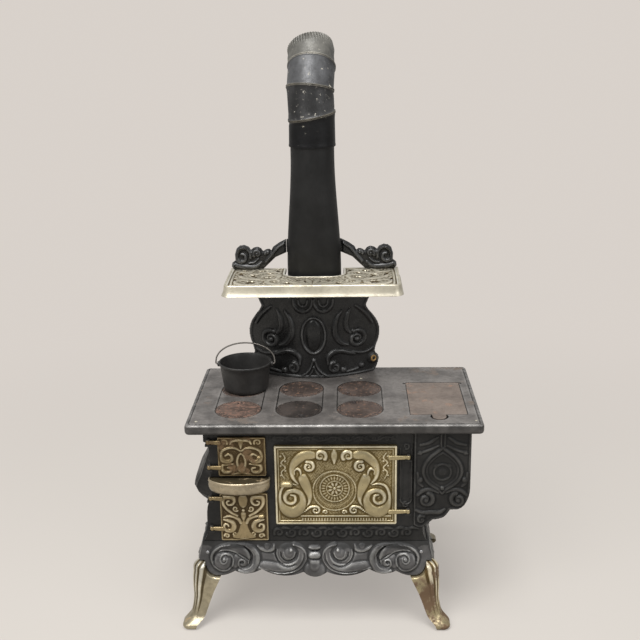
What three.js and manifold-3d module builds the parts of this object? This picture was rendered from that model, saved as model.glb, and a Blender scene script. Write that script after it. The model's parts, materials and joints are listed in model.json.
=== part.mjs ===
// A large toy cooking range of cast iron: a body with an oven and a firebox, a base on four nickel
// plated cabriole legs, a six-hole cooktop with a water reservoir at its right end, a curved back
// plate with a pierced shelf, and a sheet metal stovepipe with a swivelling elbow.
// Millimetres, +Z up. While it is built, X = 0 is the middle of the cooktop, Y = 0 its front edge
// and Z = 0 the floor. The finished group is moved so that its origin is at the middle of its
// footprint box.
import * as THREE from 'three';
import { mergeVertices } from 'three/addons/utils/BufferGeometryUtils.js';
import Module from 'manifold-3d';

const wasm = await Module();
wasm.setup();

// Driving dimensions shared by the whole stove
const bodyWidth = 336;
const leftOverhang = 25.5;
const reservoirOverhang = 88.5;
const bodySetback = 18;
const baseTop = 139;
const cookingHeight = 342;
const cooktopThickness = 6;
const wall = 5;
const fitGap = 0.3;
const overrun = 2;
const pipeOffset = 1.5;

const lidRadius = 35.3;
const lidRowFront = 65.1;
const lidRowSpacing = 87.5;
const backDeck = 106.4;
const lidRowBack = lidRowFront + lidRowSpacing;

const cooktopWidth = leftOverhang + bodyWidth + reservoirOverhang;
const cooktopDepth = lidRowBack + backDeck;
const cooktopLeft = -cooktopWidth / 2;
const cooktopRight = cooktopWidth / 2;
const bodyLeft = cooktopLeft + leftOverhang;
const bodyRight = cooktopRight - reservoirOverhang;
const bodyCentreX = (bodyLeft + bodyRight) / 2;
const pipeCentreX = bodyCentreX - pipeOffset;
const underCooktop = cookingHeight - cooktopThickness - fitGap;
const bodyHeight = underCooktop - baseTop;
const bodyFront = bodySetback;
const bodyBack = cooktopDepth - bodySetback;
const middleY = cooktopDepth / 2;

// Materials
const blackIron = { color: 0x2b2929, roughness: 0.55, metalness: 0.6 };
const greyIron = { color: 0x4a4845, roughness: 0.45, metalness: 0.6 };
const rustyIron = { color: 0x6b5347, roughness: 0.75, metalness: 0.35 };
const nickel = { color: 0xb9ae92, roughness: 0.35, metalness: 0.85 };
const sheetMetal = { color: 0x1f1f1f, roughness: 0.5, metalness: 0.4 };
const greySheet = { color: 0x55565a, roughness: 0.55, metalness: 0.5 };
const steel = { color: 0x8a857c, roughness: 0.4, metalness: 0.8 };

const stove = new THREE.Group();

function add(name, geometry, look) {
  const mesh = new THREE.Mesh(geometry, new THREE.MeshStandardMaterial(look));
  mesh.name = name;
  stove.add(mesh);
  return mesh;
}

// Solids and booleans

function solidOf(geometry) {
  const bare = new THREE.BufferGeometry();
  bare.setAttribute('position', geometry.attributes.position);
  if (geometry.index) bare.setIndex(geometry.index);
  const merged = mergeVertices(bare);
  return new wasm.Manifold(new wasm.Mesh({
    numProp: 3,
    vertProperties: new Float32Array(merged.attributes.position.array),
    triVerts: Uint32Array.from(merged.index.array),
  }));
}

function geometryOf(solid) {
  const { vertProperties, triVerts } = solid.getMesh();
  const geometry = new THREE.BufferGeometry();
  geometry.setAttribute('position', new THREE.BufferAttribute(vertProperties, 3));
  geometry.setIndex(new THREE.BufferAttribute(triVerts, 1));
  geometry.computeVertexNormals();
  return geometry;
}

function cut(base, ...tools) {
  return geometryOf(tools.reduce((solid, tool) => solid.subtract(solidOf(tool)), solidOf(base)));
}

function join(base, ...others) {
  return geometryOf(others.reduce((solid, other) => solid.add(solidOf(other)), solidOf(base)));
}

function common(base, other) {
  return geometryOf(solidOf(base).intersect(solidOf(other)));
}

// The largest piece of a solid, without the slivers that a cut leaves beside it
function largestPiece(geometry) {
  const pieces = solidOf(geometry).decompose();
  return geometryOf(pieces.reduce((best, piece) => (piece.volume() > best.volume() ? piece : best)));
}

// A box from its two corners
function box([x0, y0, z0], [x1, y1, z1]) {
  const geometry = new THREE.BoxGeometry(x1 - x0, y1 - y0, z1 - z0);
  return geometry.translate((x0 + x1) / 2, (y0 + y1) / 2, (z0 + z1) / 2);
}

// Shapes drawn in plan and extruded upwards, drawn in front view and extruded backwards, and
// drawn in side view and extruded to the right
function extrudeUp(shape, z0, z1, curveSegments = 8) {
  const geometry = new THREE.ExtrudeGeometry(shape, { depth: z1 - z0, bevelEnabled: false, curveSegments });
  return geometry.translate(0, 0, z0);
}

function extrudeBack(shape, y0, y1, curveSegments = 8) {
  const geometry = new THREE.ExtrudeGeometry(shape, { depth: y1 - y0, bevelEnabled: false, curveSegments });
  return geometry.rotateX(Math.PI / 2).translate(0, y1, 0);
}

function extrudeRight(shape, x0, x1, curveSegments = 8) {
  const geometry = new THREE.ExtrudeGeometry(shape, { depth: x1 - x0, bevelEnabled: false, curveSegments });
  return geometry.rotateX(Math.PI / 2).rotateZ(Math.PI / 2).translate(x0, 0, 0);
}

// The same with a rounded front edge, for castings that are seen face on
function castPlate(shape, y0, y1, edge, curveSegments = 8) {
  const geometry = new THREE.ExtrudeGeometry(shape, {
    depth: y1 - y0 - edge,
    bevelThickness: edge,
    bevelSize: edge,
    bevelOffset: -edge,
    bevelSegments: 2,
    curveSegments,
  });
  geometry.rotateX(Math.PI / 2).translate(0, y1, 0);
  const back = box([-cooktopWidth, y0, -cookingHeight], [cooktopWidth, y1, cookingHeight * 2]);
  return common(geometry, back);
}

function roundedRect(x0, y0, x1, y1, r, shape = new THREE.Shape()) {
  shape.moveTo(x0 + r, y0);
  shape.lineTo(x1 - r, y0);
  shape.absarc(x1 - r, y0 + r, r, -Math.PI / 2, 0);
  shape.lineTo(x1, y1 - r);
  shape.absarc(x1 - r, y1 - r, r, 0, Math.PI / 2);
  shape.lineTo(x0 + r, y1);
  shape.absarc(x0 + r, y1 - r, r, Math.PI / 2, Math.PI);
  shape.lineTo(x0, y0 + r);
  shape.absarc(x0 + r, y0 + r, r, Math.PI, Math.PI * 1.5);
  return shape;
}

// A cylinder along one axis between two coordinates
function rod(axis, radius, from, to, [a, b], sides = 12) {
  const geometry = new THREE.CylinderGeometry(radius, radius, to - from, sides);
  const middle = (from + to) / 2;
  if (axis === 'x') return geometry.rotateZ(Math.PI / 2).translate(middle, a, b);
  if (axis === 'y') return geometry.translate(a, middle, b);
  return geometry.rotateX(Math.PI / 2).translate(a, b, middle);
}

// A closed skin over rings of points. An open loft is capped by a ladder between the two halves
// of its end rings, and a looped loft joins its last ring to its first.
function loft(rings, looped = false) {
  const count = rings[0].length;
  const positions = rings.flat().flatMap((p) => [p.x, p.y, p.z]);
  const indices = [];
  const bands = looped ? rings.length : rings.length - 1;
  for (let i = 0; i < bands; i += 1) {
    const here = i * count;
    const next = ((i + 1) % rings.length) * count;
    for (let j = 0; j < count; j += 1) {
      const k = (j + 1) % count;
      indices.push(here + j, here + k, next + k, here + j, next + k, next + j);
    }
  }
  if (!looped) {
    const last = (rings.length - 1) * count;
    for (let j = 0; j < count / 2 - 1; j += 1) {
      const a = j;
      const b = j + 1;
      const c = count - 2 - j;
      const d = count - 1 - j;
      indices.push(a, c, b, a, d, c, last + a, last + b, last + c, last + a, last + c, last + d);
    }
  }
  const geometry = new THREE.BufferGeometry();
  geometry.setAttribute('position', new THREE.Float32BufferAttribute(positions, 3));
  geometry.setIndex(indices);
  return facingOut(geometry);
}

function facingOut(geometry) {
  const p = geometry.attributes.position;
  const index = geometry.index.array;
  const [a, b, c] = [new THREE.Vector3(), new THREE.Vector3(), new THREE.Vector3()];
  let volume = 0;
  for (let i = 0; i < index.length; i += 3) {
    a.fromBufferAttribute(p, index[i]);
    b.fromBufferAttribute(p, index[i + 1]);
    c.fromBufferAttribute(p, index[i + 2]);
    volume += a.dot(b.cross(c));
  }
  if (volume < 0) {
    for (let i = 0; i < index.length; i += 3) [index[i], index[i + 1]] = [index[i + 1], index[i]];
  }
  geometry.computeVertexNormals();
  return geometry;
}

function steps(count) {
  return Array.from({ length: count + 1 }, (_, i) => i / count);
}

// A smooth value through [place, value] pairs in rising order of place
function through(pairs, place) {
  const last = pairs.length - 1;
  let i = 0;
  while (i < last - 1 && place > pairs[i + 1][0]) i += 1;
  const at = (k) => pairs[Math.min(Math.max(k, 0), last)];
  const span = at(i + 1)[0] - at(i)[0];
  const t = Math.min(Math.max((place - at(i)[0]) / span, 0), 1);
  const slope = (k) => (at(k + 1)[1] - at(k - 1)[1]) / (at(k + 1)[0] - at(k - 1)[0]);
  const [m0, m1] = [slope(i) * span, slope(i + 1) * span];
  const [p0, p1] = [at(i)[1], at(i + 1)[1]];
  return (2 * t ** 3 - 3 * t ** 2 + 1) * p0 + (t ** 3 - 2 * t ** 2 + t) * m0
    + (3 * t ** 2 - 2 * t ** 3) * p1 + (t ** 3 - t ** 2) * m1;
}

// Cooktop: a plate with a rounded nose all round, three long openings for the lids, the
// reservoir opening with its finger hole, and the oval flue hole

const noseDepth = 16;
const noseWidth = 10;
const noseRound = 5;
const cooktopCorner = 8;

const lidThickness = 3;
const lidLedge = 3.5;
const lidMarginLeft = 2.8;
const lidMarginRight = 33.4;
const lidPocketRadius = lidRadius + fitGap;
const ledgeTop = cookingHeight - lidThickness - fitGap;
const lidSides = 32;

// The reservoir hangs under the cooktop beside the upper part of the body
const reservoirInset = 15.5;
const reservoirSetback = 17;
const reservoirLeft = bodyRight - reservoirInset;
const reservoirRight = cooktopRight - reservoirSetback;
const lidPitch = (reservoirLeft - lidMarginRight - bodyLeft - lidMarginLeft) / 3;
const lidColumns = [0, 1, 2].map((i) => bodyLeft + lidMarginLeft + lidPitch * (i + 0.5));

const waterLidOverlap = 3.8;
const waterLidMargin = 4.4;
const waterLidFront = 41;
const waterLidSetback = 80.5;
const waterLidLeft = reservoirLeft - waterLidOverlap;
const waterLidRight = reservoirRight - waterLidMargin;
const waterLidBack = cooktopDepth - waterLidSetback;
const waterLidThickness = 3.4;
const waterLidLedge = 4;
const tabRadius = 10.5;
const tabReach = 8;
const fingerGap = 2.4;
const earRadius = 1.7;
const earLength = 4;
const earInset = 3;
const lidSwing = 1;
const waterLidMiddle = (waterLidLeft + waterLidRight) / 2;
const earY = waterLidBack - earInset;
const earZ = cookingHeight - earRadius - fitGap;
// Room that the lid's back edge needs as it swings down past its ears
const lidHeel = Math.hypot(earInset, waterLidThickness) + fitGap;

const pipeInset = 22;
const pipeCentreY = cooktopDepth - pipeInset;
const pipeWall = 1.2;
const pipeFootHalfWidth = 44.6;
const pipeFootHalfDepth = 21.5;
const collarWall = 3;
const collarPlay = 1;
const collarHeight = 14;
const collarHalfWidth = pipeFootHalfWidth - pipeWall - collarPlay;
const collarHalfDepth = pipeFootHalfDepth - pipeWall - collarPlay;

// A long opening with round ends, one for each column of lids
function longOpening(x, radius) {
  const shape = new THREE.Shape();
  shape.absarc(x, lidRowBack, radius, 0, Math.PI);
  shape.absarc(x, lidRowFront, radius, Math.PI, Math.PI * 2);
  return shape;
}

function ellipse(halfWidth, halfDepth) {
  const shape = new THREE.Shape();
  shape.absellipse(pipeCentreX, pipeCentreY, halfWidth, halfDepth, 0, Math.PI * 2);
  return shape;
}

// The outline of the reservoir lid with its half round tab, grown by a margin
function waterLidShape(margin, tab, rearMargin) {
  const shape = new THREE.Shape();
  const front = waterLidFront - margin;
  shape.moveTo(waterLidLeft - margin, waterLidBack + rearMargin);
  shape.lineTo(waterLidLeft - margin, front);
  shape.lineTo(waterLidMiddle - tab, front);
  shape.lineTo(waterLidMiddle - tab, waterLidFront - tabReach);
  shape.absarc(waterLidMiddle, waterLidFront - tabReach, tab, Math.PI, Math.PI * 2);
  shape.lineTo(waterLidMiddle + tab, front);
  shape.lineTo(waterLidRight + margin, front);
  shape.lineTo(waterLidRight + margin, waterLidBack + rearMargin);
  return shape;
}

function makeCooktop() {
  const [left, right] = [cooktopLeft, cooktopRight];
  const outline = roundedRect(left, 0, right, cooktopDepth, cooktopCorner);
  const slab = new THREE.ExtrudeGeometry(outline, {
    depth: noseDepth - 2 * noseRound,
    bevelThickness: noseRound,
    bevelSize: noseRound,
    bevelOffset: -noseRound,
    bevelSegments: 3,
    curveSegments: 4,
  });
  slab.translate(0, 0, cookingHeight - noseDepth + noseRound);
  const underside = roundedRect(left + noseWidth, noseWidth, right - noseWidth,
    cooktopDepth - noseWidth, cooktopCorner / 2);
  const bottom = cookingHeight - noseDepth - overrun;
  const tools = [extrudeUp(underside, bottom, cookingHeight - cooktopThickness, 3)];
  for (const x of lidColumns) {
    tools.push(extrudeUp(longOpening(x, lidPocketRadius), ledgeTop, cookingHeight + overrun, lidSides / 2));
    tools.push(extrudeUp(longOpening(x, lidPocketRadius - lidLedge), bottom, cookingHeight, lidSides / 2));
  }
  const waterLedge = cookingHeight - waterLidThickness - fitGap;
  tools.push(extrudeUp(waterLidShape(fitGap, tabRadius + fingerGap, lidSwing), waterLedge, cookingHeight + overrun));
  tools.push(box([waterLidLeft + waterLidLedge, waterLidFront + waterLidLedge, bottom],
    [waterLidRight - waterLidLedge, waterLidBack + lidSwing, cookingHeight]));
  tools.push(box([waterLidLeft - fitGap, earY - lidHeel, bottom],
    [waterLidRight + fitGap, waterLidBack + lidSwing, cookingHeight]));
  const fingerHole = rod('z', tabRadius + fingerGap, bottom, cookingHeight,
    [waterLidMiddle, waterLidFront - tabReach], 24);
  tools.push(common(fingerHole, box([waterLidLeft, 0, bottom],
    [waterLidRight, waterLidFront - tabReach, cookingHeight])));
  const earSlot = earRadius + fitGap;
  tools.push(box([waterLidLeft - earLength - fitGap, earY - earSlot, earZ - earSlot],
    [waterLidRight + earLength + fitGap, earY + earSlot, cookingHeight + overrun]));
  const flue = ellipse(collarHalfWidth - collarWall, collarHalfDepth - collarWall);
  tools.push(extrudeUp(flue, bottom, cookingHeight + overrun, 32));
  return cut(slab, ...tools);
}

add('cooktop', makeCooktop(), greyIron);

// Lids and the short centres between them

const socketRadius = 4;
const socketDepth = 1.6;
const socketInset = 8;
const lidChamfer = 0.6;

// A round lid with a lifter socket near its edge, at an angle counted from +X
function makeLid(x, y, socketAngle) {
  const bottom = ledgeTop + fitGap;
  const profile = [
    [0, 0], [lidRadius - lidChamfer, 0], [lidRadius, lidChamfer],
    [lidRadius, lidThickness - lidChamfer], [lidRadius - lidChamfer, lidThickness], [0, lidThickness],
  ].map(([r, z]) => new THREE.Vector2(r, z));
  const disc = new THREE.LatheGeometry(profile, lidSides).rotateX(Math.PI / 2).translate(x, y, bottom);
  const reach = lidRadius - socketInset;
  const place = [x + reach * Math.cos(socketAngle), y + reach * Math.sin(socketAngle)];
  const socket = rod('z', socketRadius, cookingHeight - socketDepth, cookingHeight + overrun, place);
  return cut(disc, socket);
}

// The waisted plate between two lids: it rests on the ledges at its sides and carries the lids
// on a lip under its hollow edges
function makeShortCentre(x) {
  const slice = (halfWidth, radius, z0, z1) => {
    const band = box([x - halfWidth, lidRowFront, z0], [x + halfWidth, lidRowBack, z1]);
    return cut(band,
      rod('z', radius, z0 - overrun, z1 + overrun, [x, lidRowFront], lidSides),
      rod('z', radius, z0 - overrun, z1 + overrun, [x, lidRowBack], lidSides));
  };
  const halfWidth = lidRadius;
  const inner = lidPocketRadius - lidLedge - fitGap;
  const lipBottom = cookingHeight - cooktopThickness + fitGap;
  return join(slice(halfWidth - fitGap, lidPocketRadius, ledgeTop + fitGap, cookingHeight),
    slice(inner, lidPocketRadius, lipBottom, cookingHeight - lidChamfer),
    slice(inner, lidRadius - lidLedge, lipBottom, ledgeTop));
}

const columnNames = ['left', 'middle', 'right'];
const socketTurns = { left: [0.25, 0.75], middle: [0.78, 0.55], right: [0.3, 0.62] };
columnNames.forEach((side, i) => {
  const [front, back] = socketTurns[side];
  const turn = Math.PI * 2;
  add(`short_centre_${side}`, makeShortCentre(lidColumns[i]), greyIron);
  add(`lid_${side}_front`, makeLid(lidColumns[i], lidRowFront, front * turn), rustyIron);
  add(`lid_${side}_back`, makeLid(lidColumns[i], lidRowBack, back * turn), rustyIron);
});

// Reservoir lid, hinged on two ears at its back corners

function makeReservoirLid() {
  const bottom = cookingHeight - waterLidThickness;
  const plate = extrudeUp(waterLidShape(0, tabRadius, 0), bottom, cookingHeight, 10);
  const ears = rod('x', earRadius, waterLidLeft - earLength, waterLidRight + earLength, [earY, earZ], 10);
  return join(plate, ears);
}

add('reservoir_lid', makeReservoirLid(), rustyIron);

// Body front: one casting with three door openings, hinge brackets, and a shaped left edge

const doorThickness = 5;
const doorOverlap = 6;
const doorBack = bodyFront - fitGap;
const doorFront = doorBack - doorThickness;

const leftDoorInset = 20.5;
const leftDoorWidth = 77;
const feedDoorInset = 1;
const feedDoorTrim = 2;
const feedDoorDrop = 18.7;
const ashDoorSill = 3;
const ovenDoorSpacing = 10;
const ovenDoorMargin = 40.5;
const ovenDoorSill = 31;
const ovenDoorDrop = 32.7;
const tabWidth = 13;
const tabProud = 7;
const tabHeight = 5;
const ovenTabInset = 18;
const feedTabInset = 10;
const ashTabInset = 12;

// The ledge between the two left doors
const hearthShare = 0.4474;
const hearthHeight = 24;
const hearthInset = 5.5;
const hearthOverlap = 3.4;
const hearthGap = 3;
const feedDoorGap = 1.4;
const hearth = {
  left: bodyLeft + hearthInset,
  right: bodyLeft + leftDoorInset + leftDoorWidth + hearthOverlap,
  bottom: baseTop + bodyHeight * hearthShare,
  top: baseTop + bodyHeight * hearthShare + hearthHeight,
  reach: 28,
  apron: 4,
};

// Where the hinge eyes and the thumb tab are, as shares of the door's height
const ovenEyeShares = [0.165, 0.85];
const feedEyeShares = [0.226, 0.876];
const ashEyeShares = [0.256, 0.89];
const ovenTabShare = 0.496;
const feedTabShare = 0.551;
const ashTabShare = 0.512;

// A door from its outline, its hinge side and its shares
function doorPlan(outline, hinge, eyeShares, tabShare, tabInset, width) {
  const { left, right, bottom, top } = outline;
  const at = (share) => bottom + (top - bottom) * share;
  const x = hinge > 0 ? left + tabInset : right - tabInset;
  return { ...outline, hinge, eyes: eyeShares.map(at), thumb: { x, z: at(tabShare), width } };
}

const ashDoor = doorPlan({
  left: bodyLeft + leftDoorInset,
  right: bodyLeft + leftDoorInset + leftDoorWidth,
  bottom: baseTop + ashDoorSill,
  top: hearth.bottom - hearthGap,
}, -1, ashEyeShares, ashTabShare, ashTabInset, tabHeight * 2);
const feedDoor = doorPlan({
  left: ashDoor.left + feedDoorInset,
  right: ashDoor.right - feedDoorTrim,
  bottom: hearth.top + feedDoorGap,
  top: underCooktop - feedDoorDrop,
}, -1, feedEyeShares, feedTabShare, feedTabInset, tabHeight);
const ovenDoor = doorPlan({
  left: ashDoor.right + ovenDoorSpacing,
  right: bodyRight - ovenDoorMargin,
  bottom: baseTop + ovenDoorSill,
  top: underCooktop - ovenDoorDrop,
}, 1, ovenEyeShares, ovenTabShare, ovenTabInset, tabWidth);
const doors = { oven_door: ovenDoor, firebox_door: feedDoor, ash_door: ashDoor };

const pinRadius = 1.5;
const eyeRadius = 3.2;
const eyeHeight = 6;
const fingerLength = 17;
const bracketHeight = 3;
const bracketWidth = 9;
const pinOffset = doorBack - eyeRadius;

function hingeX(door) {
  return door.hinge > 0 ? door.right + fingerLength : door.left - fingerLength + eyeRadius;
}

function doorOpening(door) {
  return roundedRect(door.left + doorOverlap, door.bottom + doorOverlap,
    door.right - doorOverlap, door.top - doorOverlap, doorOverlap / 2, new THREE.Path());
}

const reservoirShare = 0.4525;
const reservoirBottom = baseTop + bodyHeight * reservoirShare;
const bulgeRise = 23;
const bulgeTop = reservoirBottom - fitGap;
const bulgeBottom = reservoirBottom - bulgeRise;
const footFlare = 6.5;
const flareHeight = 20;

// Right edge of the body in front view: straight beside the reservoir, then swelling out below it
function rightEdge(shape, inset = 0) {
  const upper = reservoirLeft - fitGap - inset;
  shape.lineTo(bodyRight + footFlare - inset, baseTop + fitGap);
  shape.quadraticCurveTo(bodyRight - inset, baseTop + flareHeight / 2,
    bodyRight - inset, baseTop + flareHeight);
  shape.lineTo(bodyRight - inset, bulgeBottom);
  shape.quadraticCurveTo(bodyRight - inset, bulgeTop, upper, bulgeTop);
  shape.lineTo(upper, underCooktop);
}

// Left edge: a stile that narrows behind the ledge and flares onto the base
const stileWaist = 9;
const stileTopShare = 0.86;
const stileHighShare = 0.72;
const stileLowShare = 0.36;
const stileFootShare = 0.2;

function leftEdge(shape) {
  const height = (share) => baseTop + (underCooktop - baseTop) * share;
  shape.lineTo(bodyLeft, underCooktop);
  shape.lineTo(bodyLeft, height(stileTopShare));
  shape.quadraticCurveTo(bodyLeft + stileWaist, height(stileTopShare),
    bodyLeft + stileWaist, height(stileHighShare));
  shape.lineTo(bodyLeft + stileWaist, height(stileLowShare));
  shape.quadraticCurveTo(bodyLeft, height(stileLowShare), bodyLeft, height(stileFootShare));
  shape.lineTo(bodyLeft, baseTop + flareHeight);
  shape.quadraticCurveTo(bodyLeft, baseTop + flareHeight / 2,
    bodyLeft - footFlare, baseTop + fitGap);
}

function makeBodyFront() {
  const shape = new THREE.Shape();
  shape.moveTo(bodyLeft - footFlare, baseTop + fitGap);
  rightEdge(shape);
  leftEdge(shape);
  for (const door of Object.values(doors)) shape.holes.push(doorOpening(door));
  const brackets = [];
  const holes = [];
  for (const door of Object.values(doors)) {
    const x = hingeX(door);
    for (const z of door.eyes) {
      const top = z - eyeHeight / 2 - fitGap;
      brackets.push(box([x - bracketWidth / 2, pinOffset - eyeRadius, top - bracketHeight],
        [x + bracketWidth / 2, bodyFront + wall / 2, top]));
      holes.push(rod('z', pinRadius + fitGap, top - bracketHeight - overrun, top + overrun, [x, pinOffset]));
    }
  }
  return cut(join(extrudeBack(shape, bodyFront, bodyFront + wall, 5), ...brackets), ...holes);
}

add('body_front', makeBodyFront(), blackIron);

// Doors: a plate with a raised rim, two hinge fingers and a thumb tab cast in one

const rimWidth = 5;
const fieldDepth = 1.4;
const doorCorner = 3;
const medallionRadius = 24;
const medallionRise = 2.2;

function makeDoor(door) {
  const { thumb } = door;
  const outline = roundedRect(door.left, door.bottom, door.right, door.top, doorCorner);
  const field = roundedRect(door.left + rimWidth, door.bottom + rimWidth,
    door.right - rimWidth, door.top - rimWidth, doorCorner / 2);
  const plate = castPlate(outline, doorFront, doorBack, fieldDepth, 3);
  const pieces = [];
  const edge = door.hinge > 0 ? door.right : door.left;
  const x = hingeX(door);
  const near = edge - door.hinge * rimWidth;
  for (const z of door.eyes) {
    pieces.push(box([Math.min(near, x), doorFront, z - eyeHeight / 2 + fitGap],
      [Math.max(near, x), pinOffset + eyeRadius / 2, z + eyeHeight / 2 - fitGap]));
    pieces.push(rod('z', eyeRadius, z - eyeHeight / 2, z + eyeHeight / 2, [x, pinOffset]));
  }
  const tab = new THREE.Shape();
  tab.moveTo(doorBack - doorThickness / 2, thumb.z + tabHeight);
  tab.quadraticCurveTo(doorFront - tabProud, thumb.z + tabHeight, doorFront - tabProud, thumb.z);
  tab.lineTo(doorFront - tabProud + tabHeight / 2, thumb.z);
  tab.quadraticCurveTo(doorFront - tabHeight / 2, thumb.z + tabHeight / 2,
    doorBack - doorThickness / 2, thumb.z);
  pieces.push(extrudeRight(tab, thumb.x - thumb.width / 2, thumb.x + thumb.width / 2, 4));
  const sunk = cut(plate, extrudeBack(field, doorFront - overrun, doorFront + fieldDepth, 3));
  const holes = door.eyes.map((z) => rod('z', pinRadius + fitGap,
    z - eyeHeight, z + eyeHeight, [x, pinOffset]));
  return cut(join(sunk, ...pieces), ...holes);
}

// The oven door also has a low round boss at the middle of its panel
function makeOvenDoor() {
  const plain = makeDoor(ovenDoor);
  const profile = [
    [0, 0], [medallionRadius, 0], [medallionRadius, medallionRise / 2],
    [medallionRadius - medallionRise, medallionRise], [0, medallionRise],
  ].map(([r, h]) => new THREE.Vector2(r, h));
  const boss = new THREE.LatheGeometry(profile, 28).rotateX(Math.PI);
  const [x, z] = [(ovenDoor.left + ovenDoor.right) / 2, (ovenDoor.bottom + ovenDoor.top) / 2];
  boss.translate(x, doorFront + fieldDepth + fitGap, z);
  return join(plain, boss);
}

add('oven_door', makeOvenDoor(), nickel);
add('firebox_door', makeDoor(feedDoor), nickel);
add('ash_door', makeDoor(ashDoor), nickel);

for (const [name, door] of Object.entries(doors)) {
  door.eyes.forEach((z, i) => {
    const pin = rod('z', pinRadius, z - eyeHeight / 2 - bracketHeight - fitGap,
      z + eyeHeight / 2 + fitGap, [hingeX(door), pinOffset], 10);
    const head = rod('z', pinRadius * 1.6, z + eyeHeight / 2 + fitGap,
      z + eyeHeight / 2 + fitGap + pinRadius, [hingeX(door), pinOffset], 10);
    add(`${name}_pin_${i ? 'upper' : 'lower'}`, join(pin, head), steel);
  });
}

// Ledge between the two left doors: a bowed shelf with a deep apron, open underneath

function hearthShape(inset) {
  const back = bodyFront - fitGap;
  const shape = new THREE.Shape();
  shape.moveTo(hearth.left + inset, back + (inset ? overrun : 0));
  shape.lineTo(hearth.left + inset, back - hearth.reach / 4);
  shape.bezierCurveTo(hearth.left + hearth.reach / 2 + inset, back - hearth.reach * 1.25 + inset,
    hearth.right - hearth.reach / 2 - inset, back - hearth.reach * 1.25 + inset,
    hearth.right - inset, back - hearth.reach / 4);
  shape.lineTo(hearth.right - inset, back + (inset ? overrun : 0));
  return shape;
}

add('hearth_shelf', cut(extrudeUp(hearthShape(0), hearth.bottom, hearth.top, 14),
  extrudeUp(hearthShape(hearth.apron), hearth.bottom - overrun, hearth.top - hearth.apron, 14)), nickel);

// Body ends and back. The left end swells into a feed pouch, the right end into a flue bulge.

const endFront = bodyFront + wall + fitGap;
const endBack = bodyBack - wall - fitGap;
const leftPanelX = bodyLeft + stileWaist;
const pouchFrontInset = 27;
const pouchBackInset = 46;
const pouchRise = 51;
const pouchDrop = 43.7;
const pouchFront = bodyFront + pouchFrontInset;
const pouchBack = bodyBack - pouchBackInset;
const pouchBottom = baseTop + pouchRise;
const pouchTop = underCooktop - pouchDrop;
const pouchReach = 36.5;
// Height up the pouch and how far it swells out there, as shares
const pouchShares = [
  [0, 0], [0.03, 0.4], [0.09, 0.76], [0.16, 0.93], [0.24, 1], [0.43, 0.72], [0.73, 0.38], [1, 0],
];
const grateDrop = 5;
const grateSeat = hearth.bottom - grateDrop;
const seatWidth = 4;
const flueDepth = 36;

// Rows of points up the pouch: each runs along its outside and back along the panel
function pouchRows(surface, insideX, thinner) {
  const middle = (pouchFront + pouchBack) / 2;
  const halfLength = (pouchBack - pouchFront) / 2 - thinner;
  return steps(14).map((v) => {
    const z = pouchBottom + (pouchTop - pouchBottom) * v;
    const out = through(pouchShares, v) * pouchReach;
    const outside = steps(12).map((u) => {
      const s = 2 * u - 1;
      return new THREE.Vector3(surface - out * Math.sqrt(1 - s ** 6), middle + halfLength * s, z);
    });
    return [...outside, ...outside.map((p) => new THREE.Vector3(insideX, p.y, z)).reverse()];
  });
}

function makeLeftEnd() {
  const inner = leftPanelX + wall;
  const panel = box([leftPanelX, endFront, baseTop + fitGap], [inner, endBack, underCooktop]);
  const pouch = loft(pouchRows(leftPanelX + fitGap, inner - fitGap, 0));
  const hollow = loft(pouchRows(inner - fitGap, inner + overrun, wall));
  const seat = box([inner - fitGap, endFront, grateSeat - seatWidth],
    [inner + seatWidth, endBack - flueDepth, grateSeat]);
  return join(cut(join(panel, pouch), hollow), seat);
}

add('left_end', makeLeftEnd(), blackIron);

function makeRightEnd() {
  const profile = new THREE.Shape();
  profile.moveTo(bodyRight + footFlare - wall, baseTop + fitGap);
  rightEdge(profile, 0);
  const upper = reservoirLeft - fitGap - wall;
  profile.lineTo(upper, underCooktop);
  profile.lineTo(upper, bulgeTop - wall);
  profile.quadraticCurveTo(bodyRight - wall, bulgeTop - wall, bodyRight - wall, bulgeBottom);
  profile.lineTo(bodyRight - wall, baseTop + flareHeight);
  profile.quadraticCurveTo(bodyRight - wall, baseTop + flareHeight / 2,
    bodyRight + footFlare - wall, baseTop + fitGap);
  return extrudeBack(profile, endFront, endBack, 5);
}

add('right_end', makeRightEnd(), blackIron);

function makeBackPanel() {
  const shape = new THREE.Shape();
  shape.moveTo(bodyLeft - footFlare, baseTop + fitGap);
  rightEdge(shape);
  shape.lineTo(leftPanelX, underCooktop);
  shape.lineTo(leftPanelX, baseTop + flareHeight);
  return extrudeBack(shape, bodyBack - wall, bodyBack, 5);
}

add('back_panel', makeBackPanel(), blackIron);

// Inside the body: the fireback between firebox and oven, the oven's own plates and the grate

const plateThickness = 4;
const firebackX = ovenDoor.left - plateThickness;
const ovenBack = endBack - flueDepth;
const ovenLeft = firebackX + fitGap;
const ovenRight = reservoirLeft - wall - 2 * fitGap;
const ovenFloor = ovenDoor.bottom + doorOverlap - plateThickness;
const ovenRoof = ovenDoor.top - doorOverlap;
const grateThickness = 5;
const grateBars = 7;
const barShare = 0.45;

add('fireback', join(
  box([firebackX - plateThickness, endFront, baseTop + fitGap], [firebackX, ovenBack, underCooktop]),
  box([firebackX - plateThickness - seatWidth, endFront, grateSeat - seatWidth],
    [firebackX - plateThickness + fitGap, ovenBack, grateSeat])), blackIron);
add('oven_floor', box([ovenLeft, endFront, ovenFloor],
  [ovenRight, ovenBack - plateThickness - fitGap, ovenFloor + plateThickness]), blackIron);
add('oven_roof', box([ovenLeft, endFront, ovenRoof],
  [ovenRight, ovenBack - plateThickness - fitGap, ovenRoof + plateThickness]), blackIron);
add('oven_back', box([ovenLeft, ovenBack - plateThickness, ovenFloor],
  [ovenRight, ovenBack, ovenRoof + plateThickness]), blackIron);

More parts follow.
